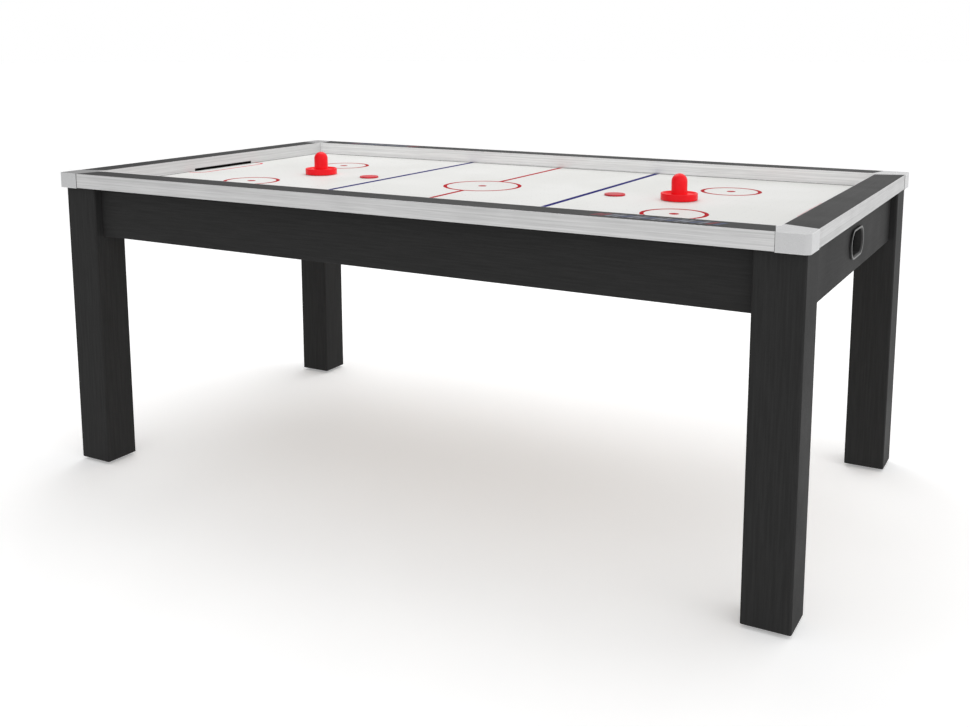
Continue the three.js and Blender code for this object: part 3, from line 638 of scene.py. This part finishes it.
def soften_node(node, width, segments):
    """Rounds a CAD node's edges with modifiers, which leave its own mesh alone."""
    piece = NODES[node]
    piece.data.polygons.foreach_set("use_smooth", [True] * len(piece.data.polygons))
    weld = piece.modifiers.new("weld", "WELD")
    weld.merge_threshold = WELD_REACH
    flats = piece.modifiers.new("flats", "DECIMATE")
    flats.decimate_type = "DISSOLVE"
    flats.angle_limit = FLAT_WITHIN
    bevel = piece.modifiers.new("bevel", "BEVEL")
    bevel.width = width
    bevel.segments = segments
    bevel.limit_method = "ANGLE"
    bevel.angle_limit = EDGE_BEYOND
    normals = piece.modifiers.new("normals", "WEIGHTED_NORMAL")
    normals.keep_sharp = False


def dress(node, look, width, segments=2):
    """Gives a CAD node its material and, if width is set, rounded edges."""
    piece = NODES[node]
    piece.data.materials.clear()
    piece.data.materials.append(look)
    mark_box(piece, [v.co for v in piece.data.vertices])
    if width:
        soften_node(node, width, segments)


# ------------------------ rails, walls, aprons and legs

def dress_table(looks):
    """The CAD nodes that keep their shape."""
    runs = [("side", side, "X") for side in SIDES] + [("end", end, "Y") for end in ENDS]
    for kind, where, axis in runs:
        dress(f"{kind}_rail_{where}", looks["rail", axis], 0.5 * MM)
        dress(f"{kind}_fascia_{where}", looks["brushed", axis], 0.3 * MM)
        dress(f"{kind}_wall_{where}", looks["foil", axis], 0.3 * MM)
        dress(f"{kind}_apron_{where}", looks["laminate", axis], 0.8 * MM)
        dress(f"plenum_batten_{where}", looks["board"], 0.8 * MM)
    for end in ENDS:
        dress(f"goal_box_{end}", looks["black_plastic"], 0.8 * MM)
    for corner in CORNERS:
        dress(f"corner_cap_{corner}", looks["cast"], 0.7 * MM, segments=3)
        dress(f"leg_{corner}", looks["laminate", "Z"], 1.0 * MM)
    for node, look, width in (
        ("plenum_panel", "board", 0.6),
        ("blower_housing", "black_plastic", 0.6),
        ("blower_motor", "steel", 0.5),
        ("blower_impeller", "fan_plastic", 0.4),
        ("blower_grille", "black_plastic", 0.4),
        ("blower_lead", "cable", 0),
        ("power_plate", "black_plastic", 0.6),
        ("power_inlet", "black_plastic", 0.4),
        ("power_switch", "switch", 0.6),
    ):
        dress(node, looks[look], width * MM)


# ------------------------ playfield

HOLE_PITCH = 0.025
HOLE_MOUTH = 0.62 * MM
HOLE_BOTTOM = 0.30 * MM
HOLE_DEPTH = 0.45 * MM
HOLE_SIDES = 8
PRINT_GAP = 0.03 * MM
PRINT_THICK = 0.12 * MM
PRINT_SHIFT = Vector((-5 * MM, -3 * MM))  # the print sits a little off the middle of the panel


def playfield_edges():
    """Half the length and half the width between the walls, from the CAD."""
    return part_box("end_wall_right")[0].x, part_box("side_wall_back")[0].y


def grid_lines(half, edge):
    """Lines of the hole grid inside the walls, with the panel's own edges outside them."""
    count = int(2 * (half - 0.003) / HOLE_PITCH)
    inner = [(i - count / 2) * HOLE_PITCH for i in range(count + 1)]
    return [-edge, *inner, edge]


def add_playfield(looks):
    """The panel with its air holes: a small cone in the middle of each cell of a square grid."""
    low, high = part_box("playfield_panel")
    half_x, half_y = playfield_edges()
    xs, ys = grid_lines(half_x, high.x), grid_lines(half_y, high.y)
    top, columns, rows = high.z, len(xs), len(ys)
    shell = Shell()
    shell.vertices = [Vector((x, y, top)) for y in ys for x in xs]

    def face(indices, look=0):
        shell.faces.append(indices)
        shell.look_index.append(look)

    rings = ((HOLE_MOUTH, top), (HOLE_BOTTOM, top - HOLE_DEPTH))
    angles = [math.tau * (k + 0.5) / HOLE_SIDES for k in range(HOLE_SIDES)]
    for row in range(rows - 1):
        for column in range(columns - 1):
            start = row * columns + column
            corner = [start, start + 1, start + 1 + columns, start + columns]
            if row in (0, rows - 2) or column in (0, columns - 2):
                face(corner)
                continue
            x, y = (xs[column] + xs[column + 1]) / 2, (ys[row] + ys[row + 1]) / 2
            base = len(shell.vertices)
            for radius, level in rings:
                for a in angles:
                    shell.vertices.append(Vector((x + radius * math.cos(a), y + radius * math.sin(a), level)))
            mouth = [base + k for k in range(HOLE_SIDES)]
            bottom = [base + HOLE_SIDES + k for k in range(HOLE_SIDES)]
            for side in range(4):
                a, b = corner[(side + 1) % 4], corner[(side + 2) % 4]
                face([a, b, mouth[2 * side], mouth[2 * side - 1]])
                face([b, mouth[2 * side + 1], mouth[2 * side]])
            # The hole's walls and floor take the near-black look: painted shade for the depth of a through
            # hole.
            for k in range(HOLE_SIDES):
                n = (k + 1) % HOLE_SIDES
                face([mouth[k], mouth[n], bottom[n], bottom[k]], 1)
            face(bottom, 1)

    rim = [*range(columns), *[r * columns + columns - 1 for r in range(1, rows)],
           *[(rows - 1) * columns + c for c in range(columns - 2, -1, -1)],
           *[r * columns for r in range(rows - 2, 0, -1)]]
    base = len(shell.vertices)
    shell.vertices += [Vector((shell.vertices[i].x, shell.vertices[i].y, low.z)) for i in rim]
    under = [base + k for k in range(len(rim))]
    for k in range(len(rim)):
        n = (k + 1) % len(rim)
        face([under[k], under[n], rim[n], rim[k]], 2)
    face(under[::-1], 2)
    materials = [looks["playfield"], looks["hole"], looks["board"]]
    shell.piece("playfield", TABLE, materials, "playfield_laminate", ["playfield_panel"], sharp=20)


def add_rink_print(looks):
    """The rink's printed lines, each a skin of ink on the playfield."""
    half_x, half_y = playfield_edges()
    z0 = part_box("playfield_panel")[1].z + PRINT_GAP
    z1 = z0 + PRINT_THICK
    red, blue, pale = 0, 1, 2
    shell = Shell()
    edge = half_y - 0.5 * MM
    ring, face_ring, dot = 0.1008, 0.0735, 0.0115
    ring_line, centre_line, blue_line, crease_line = 0.0100, 0.012, 0.015, 0.007
    blue_x, face_x, face_y = 0.314, 0.622, 0.215
    crease_x, crease_half, crease_turn = half_x - 0.049, 0.147, 0.035

    for sign in (-1, 1):
        ends = sorted((PRINT_SHIFT.y + sign * (ring + ring_line / 2 - 0.2 * MM), sign * edge))
        for x, width, low, high, look in (
            (PRINT_SHIFT.x, centre_line, *ends, red),
            (PRINT_SHIFT.x + sign * blue_x, blue_line, -edge, edge, blue),
        ):
            shell.add(block((x - width / 2, low, z0), (x + width / 2, high, z1)), look)
        near = crease_x + sign * PRINT_SHIFT.x
        path = [(half_x - 0.6 * MM, crease_half), (near, crease_half, crease_turn),
                (near, -crease_half, crease_turn), (half_x - 0.6 * MM, -crease_half)]
        outline = stroke(filleted(path, steps=10), crease_line)
        place = Matrix.Translation((0, PRINT_SHIFT.y, 0)) @ Matrix.Scale(sign, 4, (1, 0, 0))
        shell.add(prism(outline, z0, z1), pale, place)
        for side in (-1, 1):
            place = Matrix.Translation((PRINT_SHIFT.x + sign * face_x, PRINT_SHIFT.y + side * face_y, 0))
            shell.add(annulus(face_ring - ring_line / 2, face_ring + ring_line / 2, z0, z1, 96), red, place)
            shell.add(disc(dot, z0, z1), red, place)
    place = Matrix.Translation((*PRINT_SHIFT, 0))
    shell.add(annulus(ring - ring_line / 2, ring + ring_line / 2, z0, z1, 128), red, place)
    shell.add(disc(dot, z0, z1), red, place)
    materials = [looks["red_ink"], looks["blue_ink"], looks["pale_red_ink"]]
    shell.piece("playfield_print", TABLE, materials, "playfield_laminate")


def add_wall_foot_shading(looks):
    """A thin grey strip at the foot of the walls, painted shade where they meet the playfield, left out where
    the goal slots are.
    """
    half_x, half_y = playfield_edges()
    z0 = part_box("playfield_panel")[1].z + PRINT_GAP
    z1 = z0 + 1.0 * MM
    thick, slot_half = 0.22 * MM, 0.1255
    shell = Shell()
    for sign in (-1, 1):
        y = sorted((sign * (half_y - thick), sign * (half_y - 0.01 * MM)))
        shell.add(block((-half_x + thick, y[0], z0), (half_x - thick, y[1], z1)))
        x = sorted((sign * (half_x - thick), sign * (half_x - 0.01 * MM)))
        for low, high in ((-half_y + thick, -slot_half), (slot_half, half_y - thick)):
            shell.add(block((x[0], low, z0), (x[1], high, z1)))
    shell.piece("wall_foot_shade_line", TABLE, [looks["foot_shade_grey"]], "black_plastic")


def add_rail_marks(looks):
    """A row of plain slanted bars on each long rail's top, at the player's right."""
    start, end, bars = 0.556, 0.832, 17
    half, slant = 0.015, 0.007
    pitch = (end - start) / bars
    wide = pitch * 0.62
    pale, blue, red = 0, 1, 2
    for side in SIDES:
        low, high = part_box(f"side_rail_{side}")
        z0 = high.z + PRINT_GAP
        facing = Matrix.Rotation(math.pi if side == "back" else 0, 4, "Z")
        place = Matrix.Translation((0, (low.y + high.y) / 2, 0)) @ facing
        shell = Shell()
        for i in range(bars):
            x = start + i * pitch
            near, far = x - slant, x + slant
            outline = [(near, -half), (near + wide, -half), (far + wide, half), (far, half)]
            look = red if i in (0, 1, bars - 2) else (pale, blue, pale)[i % 3]
            shell.add(prism(outline, z0, z0 + PRINT_THICK), look, place)
        materials = [looks["rail_pale"], looks["rail_blue"], looks["rail_red"]]
        shell.piece(f"rail_marks_{side}", TABLE, materials, "rail_top_laminate")


# ------------------------ mallets and pucks

def upright(node):
    """A round node's radius and height in millimetres, and the place of the middle of its foot."""
    low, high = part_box(node)
    centre = (low + high) / 2
    radius, height = (high.x - low.x) / 2 / MM, (high.z - low.z) / MM
    return radius, height, Matrix.Translation((centre.x, centre.y, low.z))


def add_mallet(looks, end):
    """A mallet: a dished base inside a thick rim, and a domed grip. Its felt sits in a recess underneath."""
    body = f"mallet_{end}"
    pad = f"mallet_felt_{end}"
    radius, height, place = upright(body)
    pad_radius, pad_thick, pad_place = upright(pad)
    bore = pad_radius + 0.5
    recess = (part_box(pad)[1].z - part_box(body)[0].z) / MM + 0.3
    grip, rim = 19.6, 17
    profile = filleted([
        (0, recess), (bore, recess), (bore, 0.2, 0.2), (bore + 0.6, 0), (radius - 0.8, 0, 0.4),
        (radius, 1.6, 0.8), (radius, rim, 1.7), (radius - 4.4, rim, 1.4), (radius - 6.8, 13, 1.8),
        (33, 9.8, 3.5), (27, 9, 2.5), (grip + 0.6, 11.5, 3.2), (grip, 18), (grip, height - grip),
    ], steps=5)
    profile += arc((0, height - grip), grip, 0, 90, 18)[1:-1] + [(0, height)]
    shell = Shell().add(turned(profile, 96), place=place)
    shell.piece(f"mallet_shell_{end}", body, [looks["mallet"]], "mallet_plastic", [body], sharp=40)

    profile = [(0, 0), (pad_radius, 0, 0.5), (pad_radius, pad_thick, 0.4), (0, pad_thick)]
    shell = Shell().add(turned(filleted(profile, steps=3), 72), place=pad_place)
    shell.piece(f"felt_pad_{end}", body, [looks["felt"]], "mallet_felt", [pad])


def add_puck(looks, end):
    """A puck with rounded rims and a shallow groove near the edge of each face."""
    body = f"puck_{end}"
    radius, thick, place = upright(body)
    groove, depth = radius - 5, 0.35
    half = [
        (0, 0), (groove - 1.2, 0), (groove - 0.6, depth, 0.2), (groove + 0.6, depth, 0.2),
        (groove + 1.2, 0), (radius, 0, 0.9),
    ]
    other = [(p[0], thick - p[1], *p[2:]) for p in reversed(half)]
    shell = Shell().add(turned(filleted(half + other, steps=5), 80), place=place)
    shell.piece(f"puck_disc_{end}", body, [looks["puck"]], "puck_plastic", [body], sharp=30)


# ------------------------ return bezels, levelers and bolts

def add_bezel(looks, end):
    """The moulded ring round a return opening: a raised lip that funnels inwards, and a sleeve."""
    low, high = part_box(f"return_bezel_{end}")
    sign = SIGN[end]
    back, face = (low.x, high.x) if sign > 0 else (-high.x, -low.x)
    lip, sleeve, radius = 7 * MM, 3 * MM, 27 * MM
    half_width = (high.y - low.y) / 2 - lip
    half_height = (high.z - low.z) / 2 - lip
    apron_low, apron_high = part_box(f"end_apron_{end}")
    seat = max(apron_high.x, -apron_low.x) + 0.3 * MM
    section = filleted([
        (0, back + 2 * MM), (0, back, 0.4 * MM), (sleeve, back, 0.6 * MM), (sleeve, seat),
        (lip, seat, 0.3 * MM), (lip, face, 1.1 * MM), (2.9 * MM, face, 0.8 * MM),
        (0, face - 3.6 * MM, 1.2 * MM), (0, back + 2.5 * MM),
    ])
    loops = []
    for grow, depth in section:
        outline = round_rectangle(half_width + grow, half_height + grow, radius + grow, steps=14)
        loops.append([(sign * depth, y, z) for y, z in outline])
    place = Matrix.Translation((0, (low.y + high.y) / 2, (low.z + high.z) / 2))

    # The faces at the lip's crest take the grey look and the rest the black: the grey ring is a painted
    # highlight where the black lip catches the light.
    def rim_or_bore(middle):
        return 0 if abs(middle.x) > face - 0.5 * MM else 1

    shell = Shell().add(ring_of(loops), rim_or_bore, place)
    materials = [looks["grey_plastic"], looks["black_plastic"]]
    piece = shell.piece(f"bezel_{end}", TABLE, materials, "grey_plastic", [f"return_bezel_{end}"])
    face_outwards(piece)


def face_outwards(piece):
    """Turns a closed mesh's faces outwards."""
    mesh = bmesh.new()
    mesh.from_mesh(piece.data)
    bmesh.ops.recalc_face_normals(mesh, faces=mesh.faces)
    mesh.to_mesh(piece.data)
    mesh.free()


def add_leveler(looks, corner):
    """A foot: a rubber pad moulded round a threaded stud."""
    node = f"leg_leveler_{corner}"
    radius, height, place = upright(node)
    pad = 8.4
    profile = filleted([
        (0, 0), (radius - 2.2, 0), (radius - 1.7, 0.5), (radius - 1.2, 0), (radius, 0.2, 0.8),
        (radius, 6.2, 1.2), (radius - 2.4, pad, 1), (4.6, pad),
    ])
    shell = Shell().add(turned([*profile, (0, pad)], 64), 0, place)
    pitch, crest, root = 1.25, 3.95, 3.3
    stud = [(0, pad + 0.02), (root, pad + 0.02)]
    turns = int((height - pad - 1) / pitch)
    thread = pad + 0.3  # where the thread starts
    for i in range(turns):
        z = thread + i * pitch
        stud += [(root, z), (crest, z + pitch * 0.42), (crest, z + pitch * 0.58)]
    stud += [(root, thread + turns * pitch), (0, thread + turns * pitch)]
    shell.add(turned(stud, 28), 1, place)
    materials = [looks["rubber"], looks["steel"]]
    shell.piece(f"foot_{corner}", f"leveler_{corner}", materials, "leveler_rubber", [node], sharp=30)


def hexagon(angle):
    """How far a hexagon's edge reaches at an angle, for a ring whose radius is to its corners."""
    return math.cos(math.pi / 6) / math.cos((angle % (math.pi / 3)) - math.pi / 6)


def cross(angle):
    """The same for a cross-shaped driver recess."""
    turn = (angle + math.pi / 4) % (math.pi / 2) - math.pi / 4
    arm = 0.30 / max(abs(math.sin(turn)), 1e-6)  # the arm's half width is 0.30 of the radius
    return min(1 / math.cos(turn), arm, 1.0)


def add_leg_bolts(looks):
    """Flange-head bolts through the aprons into the legs."""
    corners, head, flange = 7.4 * 0.97, 5.4, 7
    for corner in CORNERS:
        side, end = corner.split("_")
        for wall, axis, sign in (("side", 1, SIGN[side]), ("end", 0, SIGN[end])):
            node = f"leg_bolt_{wall}_{corner}"
            low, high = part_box(node)
            length = (high - low)[axis] / MM
            start = (low + high) / 2
            start[axis] = low[axis] if sign > 0 else high[axis]
            direction = Vector((0, 0, 0))
            direction[axis] = sign
            outward = Vector((0, 0, 1)).rotation_difference(direction).to_matrix().to_4x4()
            profile = [
                (0, 0.4), (4.2, 0.4), (4.6, 0), (5.8, 0), (corners, 0.9), (corners, head),
                (9.0, head + 0.3), (9.9, head + 0.8), (9.9, flange), (3.9, flange),
                (3.9, length - 1), (3.1, length), (0, length),
            ]
            body = turned(profile, 48, {4: hexagon, 5: hexagon})
            shell = Shell().add(body, place=Matrix.Translation(start) @ outward)
            shell.piece(f"bolt_{wall}_{corner}", TABLE, [looks["steel"]], "zinc_steel", [node], sharp=30)


def screw(head_radius):
    """A pan-head screw's head with a cross recess, standing up from z = 0. Its radius is in millimetres."""
    shares = [
        (0, 0), (0.96, 0), (1, 0.10), (0.95, 0.32), (0.80, 0.50), (0.60, 0.60),
        (0.52, 0.62), (0.40, 0.20), (0, 0.12),
    ]
    profile = [(head_radius * across, head_radius * up) for across, up in shares]
    return turned(profile, 48, {6: cross, 7: cross})


def add_cap_gap_shades(looks):
    """A dark hairline strip where each fascia meets a corner cap: painted shade for the shadow in the real
    joint between them.
    """
    wide, proud = 0.9 * MM, 0.15 * MM
    lap, root = 0.2 * MM, 0.1 * MM  # how far it reaches onto the cap, and into the fascia
    for corner in CORNERS:
        side, end = corner.split("_")
        signs = Vector((SIGN[end], SIGN[side]))
        shell = Shell()
        for fascia, axis in ((f"side_fascia_{side}", 0), (f"end_fascia_{end}", 1)):
            low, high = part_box(fascia)
            tip = high[axis] if signs[axis] > 0 else low[axis]
            face = high[1 - axis] if signs[1 - axis] > 0 else low[1 - axis]
            spans = [None, None]
            spans[axis] = sorted((tip - signs[axis] * (wide - lap), tip + signs[axis] * lap))
            spans[1 - axis] = sorted((face - signs[1 - axis] * root, face + signs[1 - axis] * proud))
            (x0, x1), (y0, y1) = spans
            shell.add(block((x0, y0, low.z + lap), (x1, y1, high.z - lap)))
        shell.piece(f"cap_joint_shade_{corner}", TABLE, [looks["rubber"]], "black_plastic")


# ------------------------ screws and clips under the table

HEAD_GAP = 0.02 * MM  # between a screw's head and the face it is on


def screw_at(shell, place, head_radius, turn):
    """A screw whose head stands up along the place's own Z, turned by some degrees."""
    spin = Matrix.Rotation(math.radians(turn), 4, "Z")
    shell.add(screw(head_radius), place=place @ spin)


def downwards(x, y, z):
    return Matrix.Translation((x, y, z)) @ Matrix.Rotation(math.pi, 4, "X")


def add_goal_screws(looks, end):
    """Screws through a goal box's flange into the end apron, from the inside."""
    low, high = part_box(f"goal_box_{end}")
    sign = SIGN[end]
    flange_face = (high.x if sign > 0 else low.x) - sign * 3.02 * MM  # 3 mm thick, and the gap
    inward = Matrix.Rotation(math.radians(-90 * sign), 4, "Y")
    rim = 5 * MM  # from the flange's edge to a screw's middle
    rows = (low.z + 2 * rim, (low.z + high.z) / 2, high.z - 2 * rim)
    spots = [(side * (high.y - rim), z) for side in (-1, 1) for z in rows]
    spots += [(side * 45 * MM, low.z + rim) for side in (-1, 1)]
    shell = Shell()
    for i, (y, z) in enumerate(spots):
        screw_at(shell, Matrix.Translation((flange_face, y, z)) @ inward, 3.6, turn=37 * i)
    shell.piece(f"goal_box_screws_{end}", TABLE, [looks["steel"]], "zinc_steel", sharp=30)


def add_blower_screws(looks):
    """Six screws through the blower's flange, and four that hold its grille."""
    flange_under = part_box("blower_housing")[1].z - 3.02 * MM  # 3 mm thick, and the gap
    grille_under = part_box("blower_grille")[0].z - HEAD_GAP
    shell = Shell()
    for count, radius, level, start in ((6, 101 * MM, flange_under, 30), (4, 88 * MM, grille_under, 45)):
        for i in range(count):
            angle = math.radians(start + 360 * i / count)
            place = downwards(radius * math.cos(angle), radius * math.sin(angle), level)
            screw_at(shell, place, 3.2, turn=53 * i)
    shell.piece("blower_screws", TABLE, [looks["steel"]], "zinc_steel", sharp=30)


def add_panel_screws(looks):
    """Screws up through the plenum panel into its battens."""
    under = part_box("plenum_panel")[0].z - HEAD_GAP
    spacing = 0.24
    shell = Shell()
    for i, name in enumerate((*SIDES, *ENDS)):
        low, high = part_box(f"plenum_batten_{name}")
        axis = 0 if name in SIDES else 1
        across = (low[1 - axis] + high[1 - axis]) / 2
        margin = spacing / 3  # from a batten's end to its first screw
        run = high[axis] - low[axis] - 2 * margin
        count = round(run / spacing)
        for k in range(count + 1):
            reach = low[axis] + margin + run * k / count
            x, y = (reach, across) if axis == 0 else (across, reach)
            screw_at(shell, downwards(x, y, under), 3.4, turn=41 * k + 17 * i)
    shell.piece("panel_screws", TABLE, [looks["steel"]], "zinc_steel", sharp=30)


# Where the blower's lead is clipped up, and which way it runs there.
LEAD_CLIPS = (((0.138, 0.3857), (-0.078, -0.210)), ((0.070, 0.2257), (-0.126, -0.2217)))


def add_lead_clips(looks):
    """Two saddle clips that hold the blower's lead up to the plenum panel."""
    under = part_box("plenum_panel")[0].z
    lead, drop = 3.2 * MM, 6.2 * MM  # the lead's radius, and its middle below the panel
    skin, wide, tab, top = 1.2 * MM, 9 * MM, 9 * MM, -0.05 * MM
    inner, outer = lead + 0.15 * MM, lead + 0.15 * MM + skin
    wrap = [(-outer - tab, top), (-outer - tab, -skin), (-outer, -skin)]
    wrap += arc((0, -drop), outer, 180, 360, 20) + [(outer, -skin), (outer, top)]
    wrap += [(inner, top)] + arc((0, -drop), inner, 360, 180, 20) + [(-inner, top)]
    body = softened(prism(wrap, -wide / 2, wide / 2), 0.25 * MM, angle=50)
    on_edge = Matrix.Rotation(math.pi / 2, 4, "X")
    shell = Shell()
    for i, ((x, y), direction) in enumerate(LEAD_CLIPS):
        heading = math.atan2(direction[1], direction[0]) - math.pi / 2
        place = Matrix.Translation((x, y, under)) @ Matrix.Rotation(heading, 4, "Z")
        shell.add(body, 0, place @ on_edge)
        head = place @ downwards(-outer - tab / 2, 0, -skin - HEAD_GAP)
        shell.add(screw(2.8), 1, head @ Matrix.Rotation(0.6 + i, 4, "Z"))
    materials = [looks["black_plastic"], looks["steel"]]
    shell.piece("lead_clips", TABLE, materials, "black_plastic", sharp=30)


# ------------------------ power plate

def add_switch_marks(looks):
    """The rocker's plain bar and ring, for on and off, printed on its two faces."""
    low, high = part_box("power_switch")
    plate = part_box("power_plate")[1].y
    pivot = Vector(((low.x + high.x) / 2, plate - 7 * MM, (low.z + high.z) / 2))
    rest, facet = math.radians(-7), math.atan2(1.6, 9.4)  # the rocker's tilt, and a face's own
    out, up = 7.72 * MM, 4.7 * MM  # from the pivot to the middle of a face
    bar = block((-0.4 * MM, -2 * MM, 0), (0.4 * MM, 2 * MM, 0.08 * MM))
    ring = annulus(1.4 * MM, 2.1 * MM, 0, 0.08 * MM, 40)
    shell = Shell()
    for mark, half in ((bar, 1), (ring, -1)):
        place = Matrix.Translation(pivot) @ Matrix.Rotation(rest, 4, "X")
        place @= Matrix.Translation((0, out, half * up))
        place @= Matrix.Rotation(-half * facet - math.pi / 2, 4, "X")
        shell.add(mark, place=place)
    shell.piece("switch_marks", "rocker", [looks["print_white"]], "switch_plastic")


def add_power_details(looks):
    """The inlet's three blades and the plate's screws."""
    low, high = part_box("power_inlet")
    centre = (low + high) / 2
    floor, mouth = high.y - 16 * MM, high.y - 4 * MM
    shell = Shell()
    for dx, dz in ((-7, -2.4), (7, -2.4), (0, 1.6)):
        x, z = centre.x + dx * MM, centre.z + dz * MM
        shell.add(block((x - 1 * MM, floor, z - 2 * MM), (x + 1 * MM, mouth, z + 2 * MM), 0.35 * MM))
    shell.piece("inlet_blades", TABLE, [looks["steel"]], "zinc_steel")

    low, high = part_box("power_plate")
    inset = 5 * MM
    scatter = 1e4  # a screw's place, times this, sets how many degrees it is turned
    outward = Matrix.Rotation(-math.pi / 2, 4, "X")
    shell = Shell()
    for x in (low.x + inset, high.x - inset):
        for z in (low.z + inset, high.z - inset):
            place = Matrix.Translation((x, high.y + HEAD_GAP, z)) @ outward
            screw_at(shell, place, 2.9, turn=scatter * (x + 2 * z) % 90)
    shell.piece("plate_screws", TABLE, [looks["steel"]], "zinc_steel", sharp=30)


# ------------------------ the whole table

add_camera()
add_studio()
looks = make_looks()
dress_table(looks)
add_playfield(looks)
add_rink_print(looks)
add_wall_foot_shading(looks)
add_rail_marks(looks)
for end in ENDS:
    add_mallet(looks, end)
    add_puck(looks, end)
    add_bezel(looks, end)
    add_goal_screws(looks, end)
for corner in CORNERS:
    add_leveler(looks, corner)
add_leg_bolts(looks)
add_cap_gap_shades(looks)
add_blower_screws(looks)
add_panel_screws(looks)
add_lead_clips(looks)
add_switch_marks(looks)
add_power_details(looks)
